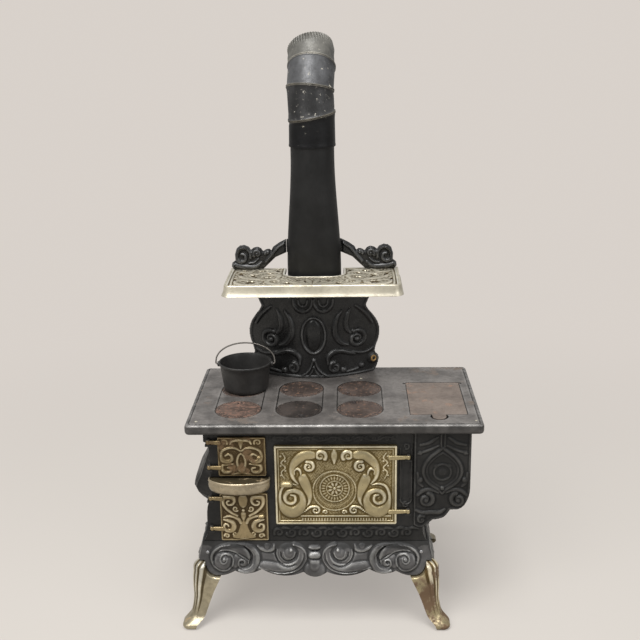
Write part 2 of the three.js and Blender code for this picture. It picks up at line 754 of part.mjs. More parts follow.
function makeGrate() {
  const left = leftPanelX + wall + fitGap;
  const right = firebackX - plateThickness - fitGap;
  const front = endFront + plateThickness;
  const back = ovenBack - plateThickness;
  const plate = box([left, front, grateSeat + fitGap], [right, back, grateSeat + fitGap + grateThickness]);
  const pitch = (back - front) / (grateBars + 1);
  const slots = steps(grateBars - 1).map((_, i) => {
    const y = front + pitch * (i + 1);
    const half = pitch * (1 - barShare) / 2;
    return box([left + seatWidth * 2, y - half, grateSeat - overrun],
      [right - seatWidth * 2, y + half, grateSeat + grateThickness + overrun]);
  });
  return cut(plate, ...slots);
}

add('firebox_grate', makeGrate(), blackIron);

// Water reservoir: a scalloped front, a casing and a tank that hangs under the cooktop

const reservoirFrontThickness = 3.4;
const reservoirEdge = 1;
const reservoirFace = bodyFront - fitGap - reservoirFrontThickness;
// How far the three lobes of the front hang below the casing, as shares of the body's height
const lobeShares = { right: 0.1627, middle: 0.2542, left: 0.305 };

function makeReservoirFront() {
  const width = reservoirRight - reservoirLeft;
  const x = (share) => reservoirLeft + width * share;
  const [right, middle, left] = ['right', 'middle', 'left'].map((side) => bodyHeight * lobeShares[side]);
  const shape = new THREE.Shape();
  shape.moveTo(reservoirLeft, underCooktop);
  shape.lineTo(reservoirLeft, reservoirBottom - left);
  shape.quadraticCurveTo(x(0.07), reservoirBottom - left - wall, x(0.14), reservoirBottom - left + wall);
  shape.quadraticCurveTo(x(0.19), reservoirBottom - middle, x(0.2), reservoirBottom - middle);
  shape.bezierCurveTo(x(0.36), reservoirBottom - middle - wall / 2,
    x(0.52), reservoirBottom - middle * 0.75, x(0.6), reservoirBottom - right);
  shape.bezierCurveTo(x(0.8), reservoirBottom - right * 1.15,
    x(1), reservoirBottom - right * 0.7, x(1), reservoirBottom + wall);
  shape.lineTo(reservoirRight, underCooktop);
  return castPlate(shape, reservoirFace, bodyFront - fitGap, reservoirEdge, 6);
}

add('reservoir_front', makeReservoirFront(), blackIron);

function makeReservoirCasing() {
  const left = reservoirLeft + fitGap;
  const shell = box([left, bodyFront, reservoirBottom], [reservoirRight, bodyBack, underCooktop]);
  const inside = box([left - overrun, bodyFront - overrun, reservoirBottom + wall],
    [reservoirRight - wall, bodyBack - wall, underCooktop + overrun]);
  return cut(shell, inside);
}

add('reservoir_casing', makeReservoirCasing(), blackIron);

const tankGap = 1.5;
const tankWall = 1.6;
const tankRim = 1.6;

function makeTank() {
  const low = [reservoirLeft + tankGap, bodyFront + tankGap, reservoirBottom + wall + fitGap];
  const high = [reservoirRight - wall - tankGap, bodyBack - wall - tankGap, underCooktop - tankRim];
  const outer = box(low, high);
  const inner = box(low.map((v) => v + tankWall),
    [high[0] - tankWall, high[1] - tankWall, high[2] + overrun]);
  const rim = box([low[0] - tankRim / 2, low[1] - tankRim / 2, high[2] - tankRim],
    [high[0] + tankRim / 2, high[1] + tankRim / 2, high[2] + tankRim - fitGap]);
  return cut(join(outer, rim), inner);
}

add('reservoir_tank', makeTank(), greySheet);

// Base: a flared skirt with a scalloped lower edge, its floor plate and four cabriole legs

const skirtOverhang = 9;
const skirtSetback = 16;
const skirtTopHalfX = bodyWidth / 2 + skirtOverhang;
const skirtTopHalfY = middleY - skirtSetback;
const skirtFlare = 14;
const skirtWall = 4;
const skirtHeight = 56;
const skirtCornerHeight = 31;
const skirtCornerTop = baseTop - skirtCornerHeight;
const skirtLow = baseTop - skirtHeight;
const floorPlateDrop = 3;
const floorPlateTop = baseTop - floorPlateDrop;
const floorPlateThickness = 4;

// Lobes of the front edge from the middle outwards: where each ends, as a share of half the
// skirt's width, how low its cusp and its belly hang, as shares of the scallop's height
const frontLobeShares = [[0, 0.1, 0.27], [0.1, 0.455, 0.27, -0.05, 0.47], [0.455, 0.68, 0.47, 0.23, 0.37], [0.68, 0.95, 0.37, 0.05, 1]];
const sideLobeShares = [[0, 0.16, 0.3], [0.16, 0.58, 0.3, 0.03, 0.45], [0.58, 0.92, 0.45, 0.05, 1]];

// Height of the skirt's edge at a share of the half side, counted from its middle
function skirtEdge(share, lobes) {
  const height = skirtCornerTop - skirtLow;
  const s = Math.abs(share);
  for (const [from, to, start, belly, end] of lobes) {
    if (s > to) continue;
    if (belly === undefined) return skirtLow + height * start * (s / to) ** 2;
    const t = (s - from) / (to - from);
    const chord = start + (end - start) * (end < 1 ? t : t ** 6);
    return skirtLow + height * (chord - (start - belly) * (1 - (2 * t - 1) ** 2));
  }
  return skirtCornerTop;
}

// How far the skirt stands out at a height, from its top edge down
function flareAt(z) {
  const t = (baseTop - z) / (baseTop - skirtLow);
  return skirtFlare * t ** 1.3;
}

function makeSkirt(grow, drop, reach = grow) {
  const rings = [];
  const sides = [
    { half: skirtTopHalfX, lobes: frontLobeShares, count: 40 },
    { half: skirtTopHalfY, lobes: sideLobeShares, count: 28 },
  ];
  for (let side = 0; side < 4; side += 1) {
    const { half, lobes, count } = sides[side % 2];
    const depth = sides[(side + 1) % 2].half;
    for (let i = 0; i < count; i += 1) {
      const share = -1 + (2 * i) / count;
      const edge = skirtEdge(share, lobes) - drop;
      const ring = [];
      const place = (z, inset) => {
        const out = flareAt(z) - inset;
        const along = share * (half + out);
        const [x, y] = [along, -(depth + out)];
        const turn = side * Math.PI / 2;
        ring.push(new THREE.Vector3(
          bodyCentreX + x * Math.cos(turn) - y * Math.sin(turn),
          middleY + x * Math.sin(turn) + y * Math.cos(turn), z));
      };
      for (const t of steps(3)) place(baseTop + (edge - baseTop) * t, -reach);
      for (const t of steps(2)) place(edge + (baseTop - edge) * t, skirtWall + grow);
      rings.push(ring);
    }
  }
  return loft(rings, true);
}

add('base_skirt', makeSkirt(0, 0), blackIron);

const floorHalfX = skirtTopHalfX - skirtWall - 2 * fitGap;
const floorHalfY = skirtTopHalfY - skirtWall - 2 * fitGap;
add('base_floor', box(
  [bodyCentreX - floorHalfX, middleY - floorHalfY, floorPlateTop - floorPlateThickness],
  [bodyCentreX + floorHalfX, middleY + floorHalfY, floorPlateTop]), blackIron);

const legTop = floorPlateTop - floorPlateThickness - fitGap;
const legSpread = 32;
const legReachShares = [
  [0, 1.005], [0.06, 1.01], [0.13, 0.96], [0.22, 0.942], [0.36, 0.929], [0.52, 0.932], [0.68, 0.929], [0.79, 0.916],
  [0.84, 0.885], [0.89, 0.85], [1, 0.81],
];
const legReach = skirtTopHalfX + legSpread;
const legWidth = 36;
const legProud = 24;
const legWidthShares = [
  [0, 0.55], [0.05, 0.64], [0.12, 0.64], [0.2, 0.68], [0.34, 0.78], [0.43, 0.9], [0.52, 1.06], [0.66, 1.28],
  [0.84, 1.4], [1, 1.3],
];
const legRound = 0.42;

// One leg in its own frame, its corner towards +X and +Y: at each height a square section with a
// rounded outer corner, hollowed at the inner corner towards the top
function legRing(v) {
  const z = legTop * v;
  const half = legReach * through(legReachShares, v);
  const width = legWidth * through(legWidthShares, v);
  const hollow = width * (1 - 0.55 * Math.min(1, Math.max(0, (v - 0.2) * 1.6)));
  const outer = [];
  const round = width * legRound;
  outer.push([half - width, half]);
  for (const t of steps(6)) {
    const angle = Math.PI / 2 * (1 - t);
    outer.push([half - round + round * Math.cos(angle), half - round + round * Math.sin(angle)]);
  }
  outer.push([half, half - width]);
  const inner = [];
  const thick = width - (width - hollow);
  inner.push([half - thick * 0.55, half - width]);
  for (const t of steps(5)) {
    const angle = Math.PI / 2 * t;
    const r = width - thick * 0.55;
    inner.push([half - width + r * Math.cos(angle) * 0.98, half - width + r * Math.sin(angle) * 0.98]);
  }
  inner.push([half - width, half - thick * 0.55]);
  return [...outer, ...inner].map(([x, y]) => new THREE.Vector3(x, y - (legReach - legReachY), z));
}

const legReachY = legReach - (skirtTopHalfX - skirtTopHalfY);

function makeLeg(sx, sy) {
  const rings = [0, 0.03, 0.07, 0.12, 0.18, 0.25, 0.34, 0.45, 0.58, 0.7, 0.8, 0.86, 0.93, 1].map(legRing);
  const placed = rings.map((ring) => ring.map((p) => new THREE.Vector3(
    bodyCentreX + sx * p.x, middleY + sy * p.y, p.z)));
  return largestPiece(cut(loft(placed), makeSkirt(2 * fitGap, 2 * fitGap, legProud)));
}

add('leg_front_left', makeLeg(-1, -1), nickel);
add('leg_front_right', makeLeg(1, -1), nickel);
add('leg_rear_left', makeLeg(-1, 1), nickel);
add('leg_rear_right', makeLeg(1, 1), nickel);

// Back plate: a bowed casting with a scrolled outline that carries the shelf

const shelfRise = 178;
const shelfTop = cookingHeight + shelfRise;
const shelfPanelThickness = 3.5;
const shelfRimRise = 2;
const backPlateOffset = 2.4;
const backPlateSetback = 34;
const backPlateCentreX = pipeCentreX - backPlateOffset;
const backPlateFront = pipeCentreY - backPlateSetback;
const backPlateBow = 46;
const backPlateWall = 3.6;
const backPlateHalfWidth = 111;
const backPlateTop = shelfTop - shelfRimRise - shelfPanelThickness - fitGap;
const backPlateFoot = cookingHeight + fitGap;
// Height and half width as shares
const backPlateShares = [
  [0, 0.92], [0.05, 0.96], [0.1, 0.985], [0.15, 0.98], [0.2, 0.93], [0.25, 0.94], [0.33, 0.985],
  [0.43, 1], [0.52, 0.96], [0.6, 0.885], [0.66, 0.82], [0.7, 0.795], [0.74, 0.82], [0.8, 0.86], [1, 0.92],
];

function makeBackPlate() {
  const rows = steps(22).map((v) => {
    const z = backPlateFoot + (backPlateTop - backPlateFoot) * v;
    const half = backPlateHalfWidth * through(backPlateShares, v);
    const across = (inset) => steps(10).map((u) => {
      const s = 2 * u - 1;
      return new THREE.Vector3(backPlateCentreX + half * s, backPlateFront + backPlateBow * s * s + inset, z);
    });
    return [...across(0), ...across(backPlateWall).reverse()];
  });
  return loft(rows);
}

add('back_plate', makeBackPlate(), blackIron);

// Shelf: a pierced panel with a raised border and a deep apron, notched for the pipe

const shelfWidth = 282;
const shelfOffset = 1;
const shelfCentreX = pipeCentreX - shelfOffset;
const shelfDepth = 119;
const shelfOverhang = 23.5;
const shelfBack = pipeCentreY + shelfOverhang;
const shelfFront = shelfBack - shelfDepth;
const shelfApron = 18;
const shelfFlare = 4.5;
const shelfCorner = 12;
const borderWidth = 5;
const apronWall = 4;
const notchPlay = 3.4;
const notchReach = 33.5;
const notchHalfWidth = pipeFootHalfWidth + notchPlay;
const notchFront = pipeCentreY - notchReach;
const notchRound = 25;

function shelfShape(inset) {
  const [left, right] = [shelfCentreX - shelfWidth / 2 + inset, shelfCentreX + shelfWidth / 2 - inset];
  const [front, back] = [shelfFront + inset, shelfBack - inset];
  const corner = Math.max(shelfCorner - inset, fitGap);
  const half = notchHalfWidth + inset;
  const shape = new THREE.Shape();
  shape.moveTo(left, back);
  shape.lineTo(left, front + corner);
  shape.absarc(left + corner, front + corner, corner, Math.PI, Math.PI * 1.5);
  shape.lineTo(right - corner, front);
  shape.absarc(right - corner, front + corner, corner, -Math.PI / 2, 0);
  shape.lineTo(right, back);
  const bottom = notchFront - inset;
  shape.lineTo(pipeCentreX + half, back);
  shape.lineTo(pipeCentreX + half, bottom + notchRound);
  shape.quadraticCurveTo(pipeCentreX + half, bottom, pipeCentreX + half - notchRound, bottom);
  shape.lineTo(pipeCentreX - half + notchRound, bottom);
  shape.quadraticCurveTo(pipeCentreX - half, bottom, pipeCentreX - half, bottom + notchRound);
  shape.lineTo(pipeCentreX - half, back);
  return shape;
}

// Leaf shaped piercings on the right half, as shares of half the width and of the depth: where,
// how long and wide, and the turn in degrees. The left half mirrors them.
const leafShares = [
  [0.1, 0.2, 0.1, 0.09, 8], [0.25, 0.16, 0.13, 0.1, -12], [0.42, 0.2, 0.14, 0.1, 14],
  [0.6, 0.15, 0.13, 0.1, -10], [0.78, 0.18, 0.13, 0.12, 12], [0.86, 0.4, 0.1, 0.1, -35],
  [0.68, 0.38, 0.13, 0.1, 20], [0.5, 0.42, 0.12, 0.1, -28], [0.58, 0.66, 0.14, 0.1, 30],
  [0.76, 0.66, 0.12, 0.1, -24], [0.5, 0.84, 0.1, 0.08, 10], [0.68, 0.86, 0.12, 0.09, -10],
  [0.86, 0.82, 0.1, 0.1, 30],
];

function leafHole(x, y, length, width, turn) {
  const leaf = new THREE.Path();
  const at = (u, v) => [x + u * Math.cos(turn) - v * Math.sin(turn), y + u * Math.sin(turn) + v * Math.cos(turn)];
  leaf.moveTo(...at(-length, 0));
  leaf.quadraticCurveTo(...at(-length * 0.2, width), ...at(length, 0));
  leaf.quadraticCurveTo(...at(length * 0.2, -width), ...at(-length, 0));
  return leaf;
}

function makeShelf() {
  const panelTop = shelfTop - shelfRimRise;
  const panelBottom = panelTop - shelfPanelThickness;
  const panel = shelfShape(0);
  const depth = shelfBack - shelfFront;
  for (const [across, back, long, wide, degrees] of leafShares) {
    for (const side of [1, -1]) {
      const turn = THREE.MathUtils.degToRad(degrees) * side;
      panel.holes.push(leafHole(shelfCentreX + side * across * shelfWidth / 2, shelfFront + back * depth,
        long * depth / 2, wide * depth / 2, turn));
    }
  }
  const border = cut(extrudeUp(shelfShape(0), panelBottom, shelfTop, 10),
    extrudeUp(shelfShape(borderWidth), panelBottom - overrun, shelfTop + overrun, 10));
  const [left, right] = [shelfCentreX - shelfWidth / 2, shelfCentreX + shelfWidth / 2];
  const apronRing = (out, z) => roundedRect(left - out, shelfFront - out, right + out,
    shelfBack + shelfApron, shelfCorner).getPoints(5).slice(0, -1).map((p) => new THREE.Vector3(p.x, p.y, z));
  const foot = shelfTop - shelfApron;
  const apron = cut(
    loft([apronRing(0, shelfTop - fitGap), apronRing(shelfFlare, foot),
      apronRing(shelfFlare - apronWall, foot), apronRing(-apronWall, shelfTop - fitGap)], true),
    box([left - shelfApron, shelfBack, foot - overrun],
      [right + shelfApron, shelfBack + shelfApron * 2, shelfTop + overrun]));
  return join(extrudeUp(panel, panelBottom, panelTop, 3), border, apron);
}

add('warming_shelf', makeShelf(), nickel);

// Yoke: two scroll brackets standing on the shelf, joined by a strap behind the pipe

const yokeOffset = 10;
const yokeFront = pipeCentreY + yokeOffset;
const yokeThickness = 9;
const yokeInner = 46;
const yokeInset = 2.5;
const yokeLength = shelfWidth / 2 - yokeInner - yokeInset;
const yokeHeight = 51.6;
const strapHeight = 22;
const strapWall = 4;
const strapPlay = 1.5;
const strapHalfWidth = pipeFootHalfWidth + strapPlay;
const strapHalfDepth = 33;
// Outline of the right bracket: distance out from its inner end and height, as shares
const yokeShares = [
  [0.43, 0], [0.96, 0], [1, 0.1], [0.99, 0.22], [0.93, 0.3], [0.935, 0.5], [0.9, 0.7], [0.84, 0.79],
  [0.76, 0.81], [0.68, 0.75], [0.64, 0.65], [0.59, 0.72], [0.52, 0.75], [0.46, 0.7], [0.42, 0.6],
  [0.37, 0.66], [0.31, 0.68], [0.27, 0.62], [0.24, 0.74], [0.13, 0.88], [0, 1], [0, 0.56], [0.2, 0.4],
];

function makeYoke() {
  const foot = shelfTop + fitGap;
  const brackets = [1, -1].map((side) => {
    const shape = new THREE.Shape(yokeShares.map(([out, up]) => new THREE.Vector2(
      shelfCentreX + side * (yokeInner + yokeLength * out), foot + yokeHeight * up)));
    return extrudeBack(shape, yokeFront, yokeFront + yokeThickness);
  });
  const strap = (halfWidth, halfDepth, z0, z1) => extrudeUp(ellipse(halfWidth, halfDepth), z0, z1, 32);
  const high = foot + yokeHeight;
  const ring = cut(strap(strapHalfWidth + strapWall, strapHalfDepth + strapWall, high - strapHeight, high),
    strap(strapHalfWidth, strapHalfDepth, high - strapHeight - overrun, high + overrun),
    box([pipeCentreX - shelfWidth, 0, foot], [pipeCentreX + shelfWidth, yokeFront, high + overrun]));
  return join(brackets[0], ring, brackets[1]);
}

add('pipe_yoke', makeYoke(), blackIron);

// Stovepipe: flattened at the foot to fit the oval collar, round at the top

const pipeTopRadius = 35.3;
const pipeLength = 402;
const pipeRoundLength = 30;
const pipeFlatRise = 7;
const pipeTop = cookingHeight + pipeLength;
const pipeRoundFrom = pipeTop - pipeRoundLength;
const pipeFlatTo = shelfTop + pipeFlatRise;
const pipeSides = 28;

add('flue_collar', cut(extrudeUp(ellipse(collarHalfWidth, collarHalfDepth), cookingHeight + fitGap,
  cookingHeight + fitGap + collarHeight, 32), extrudeUp(ellipse(collarHalfWidth - collarWall,
  collarHalfDepth - collarWall), cookingHeight - overrun, cookingHeight + collarHeight + overrun, 32)), blackIron);

function pipeHalves(z) {
  const t = THREE.MathUtils.smoothstep(z, pipeFlatTo, pipeRoundFrom);
  const foot = cookingHeight;
  const d = THREE.MathUtils.clamp((z - foot) / (pipeRoundFrom - foot), 0, 1);
  return [THREE.MathUtils.lerp(pipeFootHalfWidth, pipeTopRadius, t),
    THREE.MathUtils.lerp(pipeFootHalfDepth, pipeTopRadius, d * d * (3 - 2 * d))];
}

function makePipe() {
  const bottom = cookingHeight + fitGap;
  const heights = [bottom, ...steps(7).map((t) => bottom + (pipeRoundFrom - bottom) * t).slice(1), pipeTop];
  const rings = Array.from({ length: pipeSides }, (_, i) => {
    const angle = (i / pipeSides) * Math.PI * 2;
    const at = (z, inset) => {
      const [a, b] = pipeHalves(z);
      return new THREE.Vector3(pipeCentreX + (a - inset) * Math.cos(angle),
        pipeCentreY + (b - inset) * Math.sin(angle), z);
    };
    return [...heights.map((z) => at(z, 0)), ...heights.toReversed().map((z) => at(z, pipeWall))];
  });
  return loft(rings, true);
}

add('stovepipe', makePipe(), sheetMetal);

// Elbow: four gores joined by three swivel seams. Each seam is a circle in its own tilted plane,
// so a gore turns about its seam's axis.

const goreWall = 1;
const gorePlay = 1.1;
const goreRadius = pipeTopRadius + goreWall + gorePlay;
const beadProud = 1.3;
const beadWidth = 2.4;
const lowerGoreLength = 42;
const upperGoreLength = 36.6;
const outletLength = 38.4;
const cuffOverlap = 17;
const cuffLength = 47.5;
const cuffBottom = pipeTop - cuffOverlap;
const firstSeamZ = cuffBottom + cuffLength;
const seamAngle = THREE.MathUtils.degToRad(11);
const neckInset = 0.9;
const neckHeight = 2.4;

// Which way each seam leans, counted from +X in plan, and how far from upright in seam angles
const leanTurns = [195, 70, 87, 105].map((d) => THREE.MathUtils.degToRad(d));
const leanShares = [1, 1.4, 3.4, 3.8];

const up = new THREE.Vector3(0, 0, 1);

function lean(angle, turn) {
  return new THREE.Vector3(Math.sin(angle) * Math.cos(turn), Math.sin(angle) * Math.sin(turn), Math.cos(angle));
}

// Axes of the three seams and of the outlet
const seamAxes = leanShares.map((share, i) => lean(seamAngle * share, leanTurns[i]));
const outletAxis = seamAxes.pop();

const seamCentres = [new THREE.Vector3(pipeCentreX, pipeCentreY, firstSeamZ)];
for (const [i, length] of [lowerGoreLength, upperGoreLength].entries()) {
  const along = seamAxes[i].clone().add(seamAxes[i + 1]).normalize();
  seamCentres.push(seamCentres[i].clone().addScaledVector(along, length));
}
const outletCentre = seamCentres[2].clone().addScaledVector(
  seamAxes[2].clone().add(outletAxis).normalize(), outletLength);

const cuffFoot = { centre: new THREE.Vector3(pipeCentreX, pipeCentreY, cuffBottom), axis: up };
const seams = seamCentres.map((centre, i) => ({ centre, axis: seamAxes[i] }));
const outlet = { centre: outletCentre, axis: outletAxis };

// A point on a ring round a seam, at a distance along the seam's axis
function ringPoint({ centre, axis }, along, radius, angle) {
  const across = new THREE.Vector3(1, 0, 0).addScaledVector(axis, -axis.x).normalize();
  const back = axis.clone().cross(across);
  return centre.clone().addScaledVector(axis, along)
    .addScaledVector(across, radius * Math.cos(angle)).addScaledVector(back, radius * Math.sin(angle));
}

function makeGore(low, high, lowBead, hasNeck) {
  const half = fitGap / 2;
  const inner = goreRadius - goreWall;
  const neck = inner - neckInset;
  const profile = [];
  if (lowBead) {
    profile.push([low, half, goreRadius + beadProud], [low, beadWidth, goreRadius + beadProud],
      [low, beadWidth + beadProud, goreRadius]);
  } else profile.push([low, 0, goreRadius]);
  if (hasNeck) {
    profile.push([high, -beadWidth - beadProud, goreRadius], [high, -beadWidth, goreRadius + beadProud],
      [high, -half, goreRadius + beadProud], [high, -half, neck], [high, neckHeight, neck],
      [high, neckHeight, neck - goreWall], [high, -beadWidth - beadProud, neck - goreWall],
      [high, -2 * beadWidth - beadProud, inner]);
  } else profile.push([high, 0, goreRadius], [high, 0, inner]);
  profile.push([low, lowBead ? half : 0, inner]);
  const rings = Array.from({ length: pipeSides }, (_, i) => {
    const angle = (i / pipeSides) * Math.PI * 2;
    return profile.map(([seam, along, radius]) => ringPoint(seam, along, radius, angle));
  });
  return loft(rings, true);
}

add('elbow_cuff', makeGore(cuffFoot, seams[0], false, true), greySheet);
add('elbow_lower_gore', makeGore(seams[0], seams[1], true, true), greySheet);
add('elbow_upper_gore', makeGore(seams[1], seams[2], true, true), greySheet);
add('elbow_outlet', makeGore(seams[2], outlet, true, false), greySheet);

// Kettle on the back left lid, with its bail

const kettleShiftX = 3.5;
const kettleShiftY = 4;
const kettle = {
  x: lidColumns[0] + kettleShiftX,
  y: lidRowBack + kettleShiftY,
  rimRadius: 43,
  footRadius: 35.5,
  height: 48,
  wall: 2.4,
};
const kettleFoot = cookingHeight + fitGap;
const bailRadius = 1.2;
const bailDrop = 5;
const bailOut = 5;
const bailHeight = 34;
const bailLean = THREE.MathUtils.degToRad(18);
const kettleEar = 4.2;
const bailZ = kettleFoot + kettle.height - bailDrop;

function makeKettle() {
  const { rimRadius, footRadius, height, wall: thick } = kettle;
  const profile = [
    [0, thick * 0.5], [footRadius - thick * 2, thick * 0.5], [footRadius - thick * 1.6, 0],
    [footRadius - thick * 0.8, 0], [footRadius, thick], [rimRadius - thick * 0.6, height - thick * 1.6],
    [rimRadius, height - thick * 1.2], [rimRadius, height], [rimRadius - thick, height],
    [rimRadius - thick * 1.4, height - thick * 2], [footRadius - thick, thick * 2],
    [footRadius - thick * 2, thick * 1.6], [0, thick * 1.5],
  ].map(([r, z]) => new THREE.Vector2(r, z));
  const bowl = new THREE.LatheGeometry(profile, 28).rotateX(Math.PI / 2)
    .translate(kettle.x, kettle.y, kettleFoot);
  const ears = [1, -1].map((side) => {
    const inner = kettle.x + side * (rimRadius - thick / 2);
    const outer = kettle.x + side * (rimRadius + thick);
    return rod('x', kettleEar, Math.min(inner, outer), Math.max(inner, outer), [kettle.y, bailZ], 12);
  });
  const hole = [1, -1].map((side) => {
    const inner = kettle.x + side * (rimRadius - fitGap);
    const outer = kettle.x + side * (rimRadius + thick * 2);
    return rod('x', bailRadius + fitGap, Math.min(inner, outer), Math.max(inner, outer), [kettle.y, bailZ], 10);
  });
  return cut(join(bowl, ...ears), ...hole);
}

function makeBail() {
  const reach = kettle.rimRadius + bailOut;
  const tip = kettle.rimRadius + fitGap;
  const rise = (out, height) => new THREE.Vector3(kettle.x + out,
    kettle.y + height * Math.sin(bailLean), bailZ + height * Math.cos(bailLean));
  const arc = steps(12).map((t) => {
    const angle = Math.PI * (1 - t);
    return rise(reach * Math.cos(angle), bailDrop + (bailHeight - bailDrop) * Math.sin(angle));
  });
  const path = new THREE.CurvePath();
  const points = [rise(-tip, 0), rise(-reach, 0), ...arc, rise(reach, 0), rise(tip, 0)];
  const corners = points.slice(1).map((p, i) => new THREE.LineCurve3(points[i], p));
  corners.forEach((line) => path.add(line));
  return sweep(points, bailRadius, 8);
}

// A round rod along a line of points, with mitred bends in a plane that holds the X axis
function sweep(points, radius, sides) {
  const rings = points.map((p, i) => {
    const before = points[Math.max(i - 1, 0)];
    const after = points[Math.min(i + 1, points.length - 1)];
    const d0 = p.clone().sub(before).normalize();
    const d1 = after.clone().sub(p).normalize();
    const tangent = d0.clone().add(d1).normalize();
    const side = new THREE.Vector3(0, Math.cos(bailLean), -Math.sin(bailLean));
    const across = tangent.clone().cross(side);
    const stretch = 1 / Math.max(Math.cos(d0.angleTo(d1) / 2), 0.5);
    const along = i === 0 || i === points.length - 1 ? 1 : stretch;
    return Array.from({ length: sides }, (_, k) => {
      const angle = (k / sides) * Math.PI * 2;
      return p.clone().addScaledVector(side, radius * Math.cos(angle))
        .addScaledVector(across, radius * along * Math.sin(angle));
    });
  });
  return loft(rings);
}

add('kettle', makeKettle(), blackIron);
add('kettle_bail', makeBail(), steel);

// Origin at the middle of the footprint box, on the floor
const bounds = new THREE.Box3().setFromObject(stove);
const middle = bounds.getCenter(new THREE.Vector3());
stove.position.set(-middle.x, -middle.y, -bounds.min.z);

export default stove;
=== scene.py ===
# %% [markdown]
# # A toy cooking range of cast iron
# The solids of the range come from its CAD model, which says where every casting is and how it
# moves. This lesson dresses them: the ornament that is cast into the doors, the skirt and the
# back plate is worked out as height over a flat pattern, and each finish is built from nodes.
# %% Load the frame
import json
import math
import bmesh
import bpy
import numpy as np
from mathutils import Matrix, Vector


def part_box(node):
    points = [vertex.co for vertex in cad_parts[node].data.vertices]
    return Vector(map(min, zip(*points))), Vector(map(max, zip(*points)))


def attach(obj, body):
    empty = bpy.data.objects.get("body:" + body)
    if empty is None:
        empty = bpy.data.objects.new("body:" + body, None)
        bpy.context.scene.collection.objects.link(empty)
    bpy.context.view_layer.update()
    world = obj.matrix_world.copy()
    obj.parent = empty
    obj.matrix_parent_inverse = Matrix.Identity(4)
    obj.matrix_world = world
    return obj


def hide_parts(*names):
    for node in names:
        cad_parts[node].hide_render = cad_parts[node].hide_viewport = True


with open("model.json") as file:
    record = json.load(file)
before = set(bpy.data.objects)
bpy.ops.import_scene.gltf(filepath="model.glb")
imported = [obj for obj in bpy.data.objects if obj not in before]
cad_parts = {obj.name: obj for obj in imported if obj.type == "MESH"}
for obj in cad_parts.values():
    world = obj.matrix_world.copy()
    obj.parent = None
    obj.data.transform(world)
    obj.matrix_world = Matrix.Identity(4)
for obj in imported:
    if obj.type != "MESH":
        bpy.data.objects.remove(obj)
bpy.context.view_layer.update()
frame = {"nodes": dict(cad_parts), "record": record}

# %% [markdown]
# ## One shared set of measurements
# On the real range everything is bolted to the cooktop, so the lesson measures from it too:
# millimetres, X = 0 in the middle of the cooktop, Y = 0 at its front edge, Z = 0 on the floor.
# The CAD model has its origin under the middle of the whole range, so one shift joins the two.
# %% From stove millimetres to metres
cooktop_low, cooktop_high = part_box("cooktop")
shift = np.array([(cooktop_low[0] + cooktop_high[0]) * 500, cooktop_low[1] * 1000, 0.0])
plate_top = cooktop_high[2] * 1000
print("cooktop top at", round(plate_top, 1), "mm, shift", shift.round(2))


# %% [markdown]
# ## From arrays to pieces
# Every piece is one or more closed skins. A skin is a grid of points, or a sheet with a front,
# a back and a wall. The helper below joins them into one mesh, welds poles and seams, turns
# faces outwards, and keeps one number for each point: how deep it lies in a hollow of the
# ornament, or where a piece paints light or shade. The finishes read that number to darken
# recesses, as dirt and painted shade, and to brighten crests, as wear and painted highlight.
# %% Make a piece
shown = []


def signed_volume(points, faces):
    """Six times the shut-in volume, the sum of a . (b x c): negative if the faces look inwards."""
    a, b, c = (points[faces[:, k]] for k in (0, 1, 2))
    volume = np.einsum("ij,ij->i", a, np.cross(b, c)).sum()
    if faces.shape[1] == 4:
        d = points[faces[:, 3]]
        volume += np.einsum("ij,ij->i", a, np.cross(c, d)).sum()
    return volume


def make_piece(name, skins, material, body="root", stands_for=(), sharp=38):
    """One object from skins of (points, list of face arrays, hollow or None)."""
    points, faces, hollows, start = [], [], [], 0
    for skin_points, skin_faces, hollow in skins:
        skin_faces = [f for f in skin_faces if len(f)]
        volume = sum(signed_volume(skin_points, f) for f in skin_faces)
        for f in skin_faces:
            turned = f if volume > 0 else f[:, ::-1]
            faces += (turned + start).tolist()
        points.append(skin_points)
        hollows.append(np.zeros(len(skin_points)) if hollow is None else hollow)
        start += len(skin_points)
    mesh = bpy.data.meshes.new(name)
    mesh.from_pydata(((np.vstack(points) + shift) / 1000).tolist(), [], faces)
    mesh.attributes.new("hollow", "FLOAT", "POINT").data.foreach_set("value", np.concatenate(hollows))
    weld(mesh)
    mesh.shade_smooth()
    mesh.set_sharp_from_angle(angle=math.radians(sharp))
    mesh.materials.append(material)
    piece = bpy.data.objects.new(name, mesh)
    bpy.context.scene.collection.objects.link(piece)
    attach(piece, body)
    if stands_for:
        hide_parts(*stands_for)
    shown.append((name, len(mesh.polygons)))


def weld(mesh):
    """Points at one place become one, which closes poles and seams."""
    work = bmesh.new()
    work.from_mesh(mesh)
    bmesh.ops.remove_doubles(work, verts=work.verts, dist=2e-7)
    work.to_mesh(mesh)
    work.free()


# %% Skins made from grids
def grid_faces(rows, columns, wrap_rows=False, wrap_columns=False):
    """Four-sided faces between the points of a grid, joined end to end where it wraps."""
    i = np.arange(rows if wrap_rows else rows - 1)[:, None]
    j = np.arange(columns if wrap_columns else columns - 1)[None, :]
    below, beside = (i + 1) % rows, (j + 1) % columns
    quads = [i * columns + j, i * columns + beside, below * columns + beside, below * columns + j]
    return np.stack(np.broadcast_arrays(*quads), -1).reshape(-1, 4)


def loop_skin(sections, hollow=None):
    """A closed ring of closed sections, such as a rim that runs all the way round."""
    rows, columns = sections.shape[:2]
    flat = None if hollow is None else hollow.ravel()
    return sections.reshape(-1, 3), [grid_faces(rows, columns, True, True)], flat


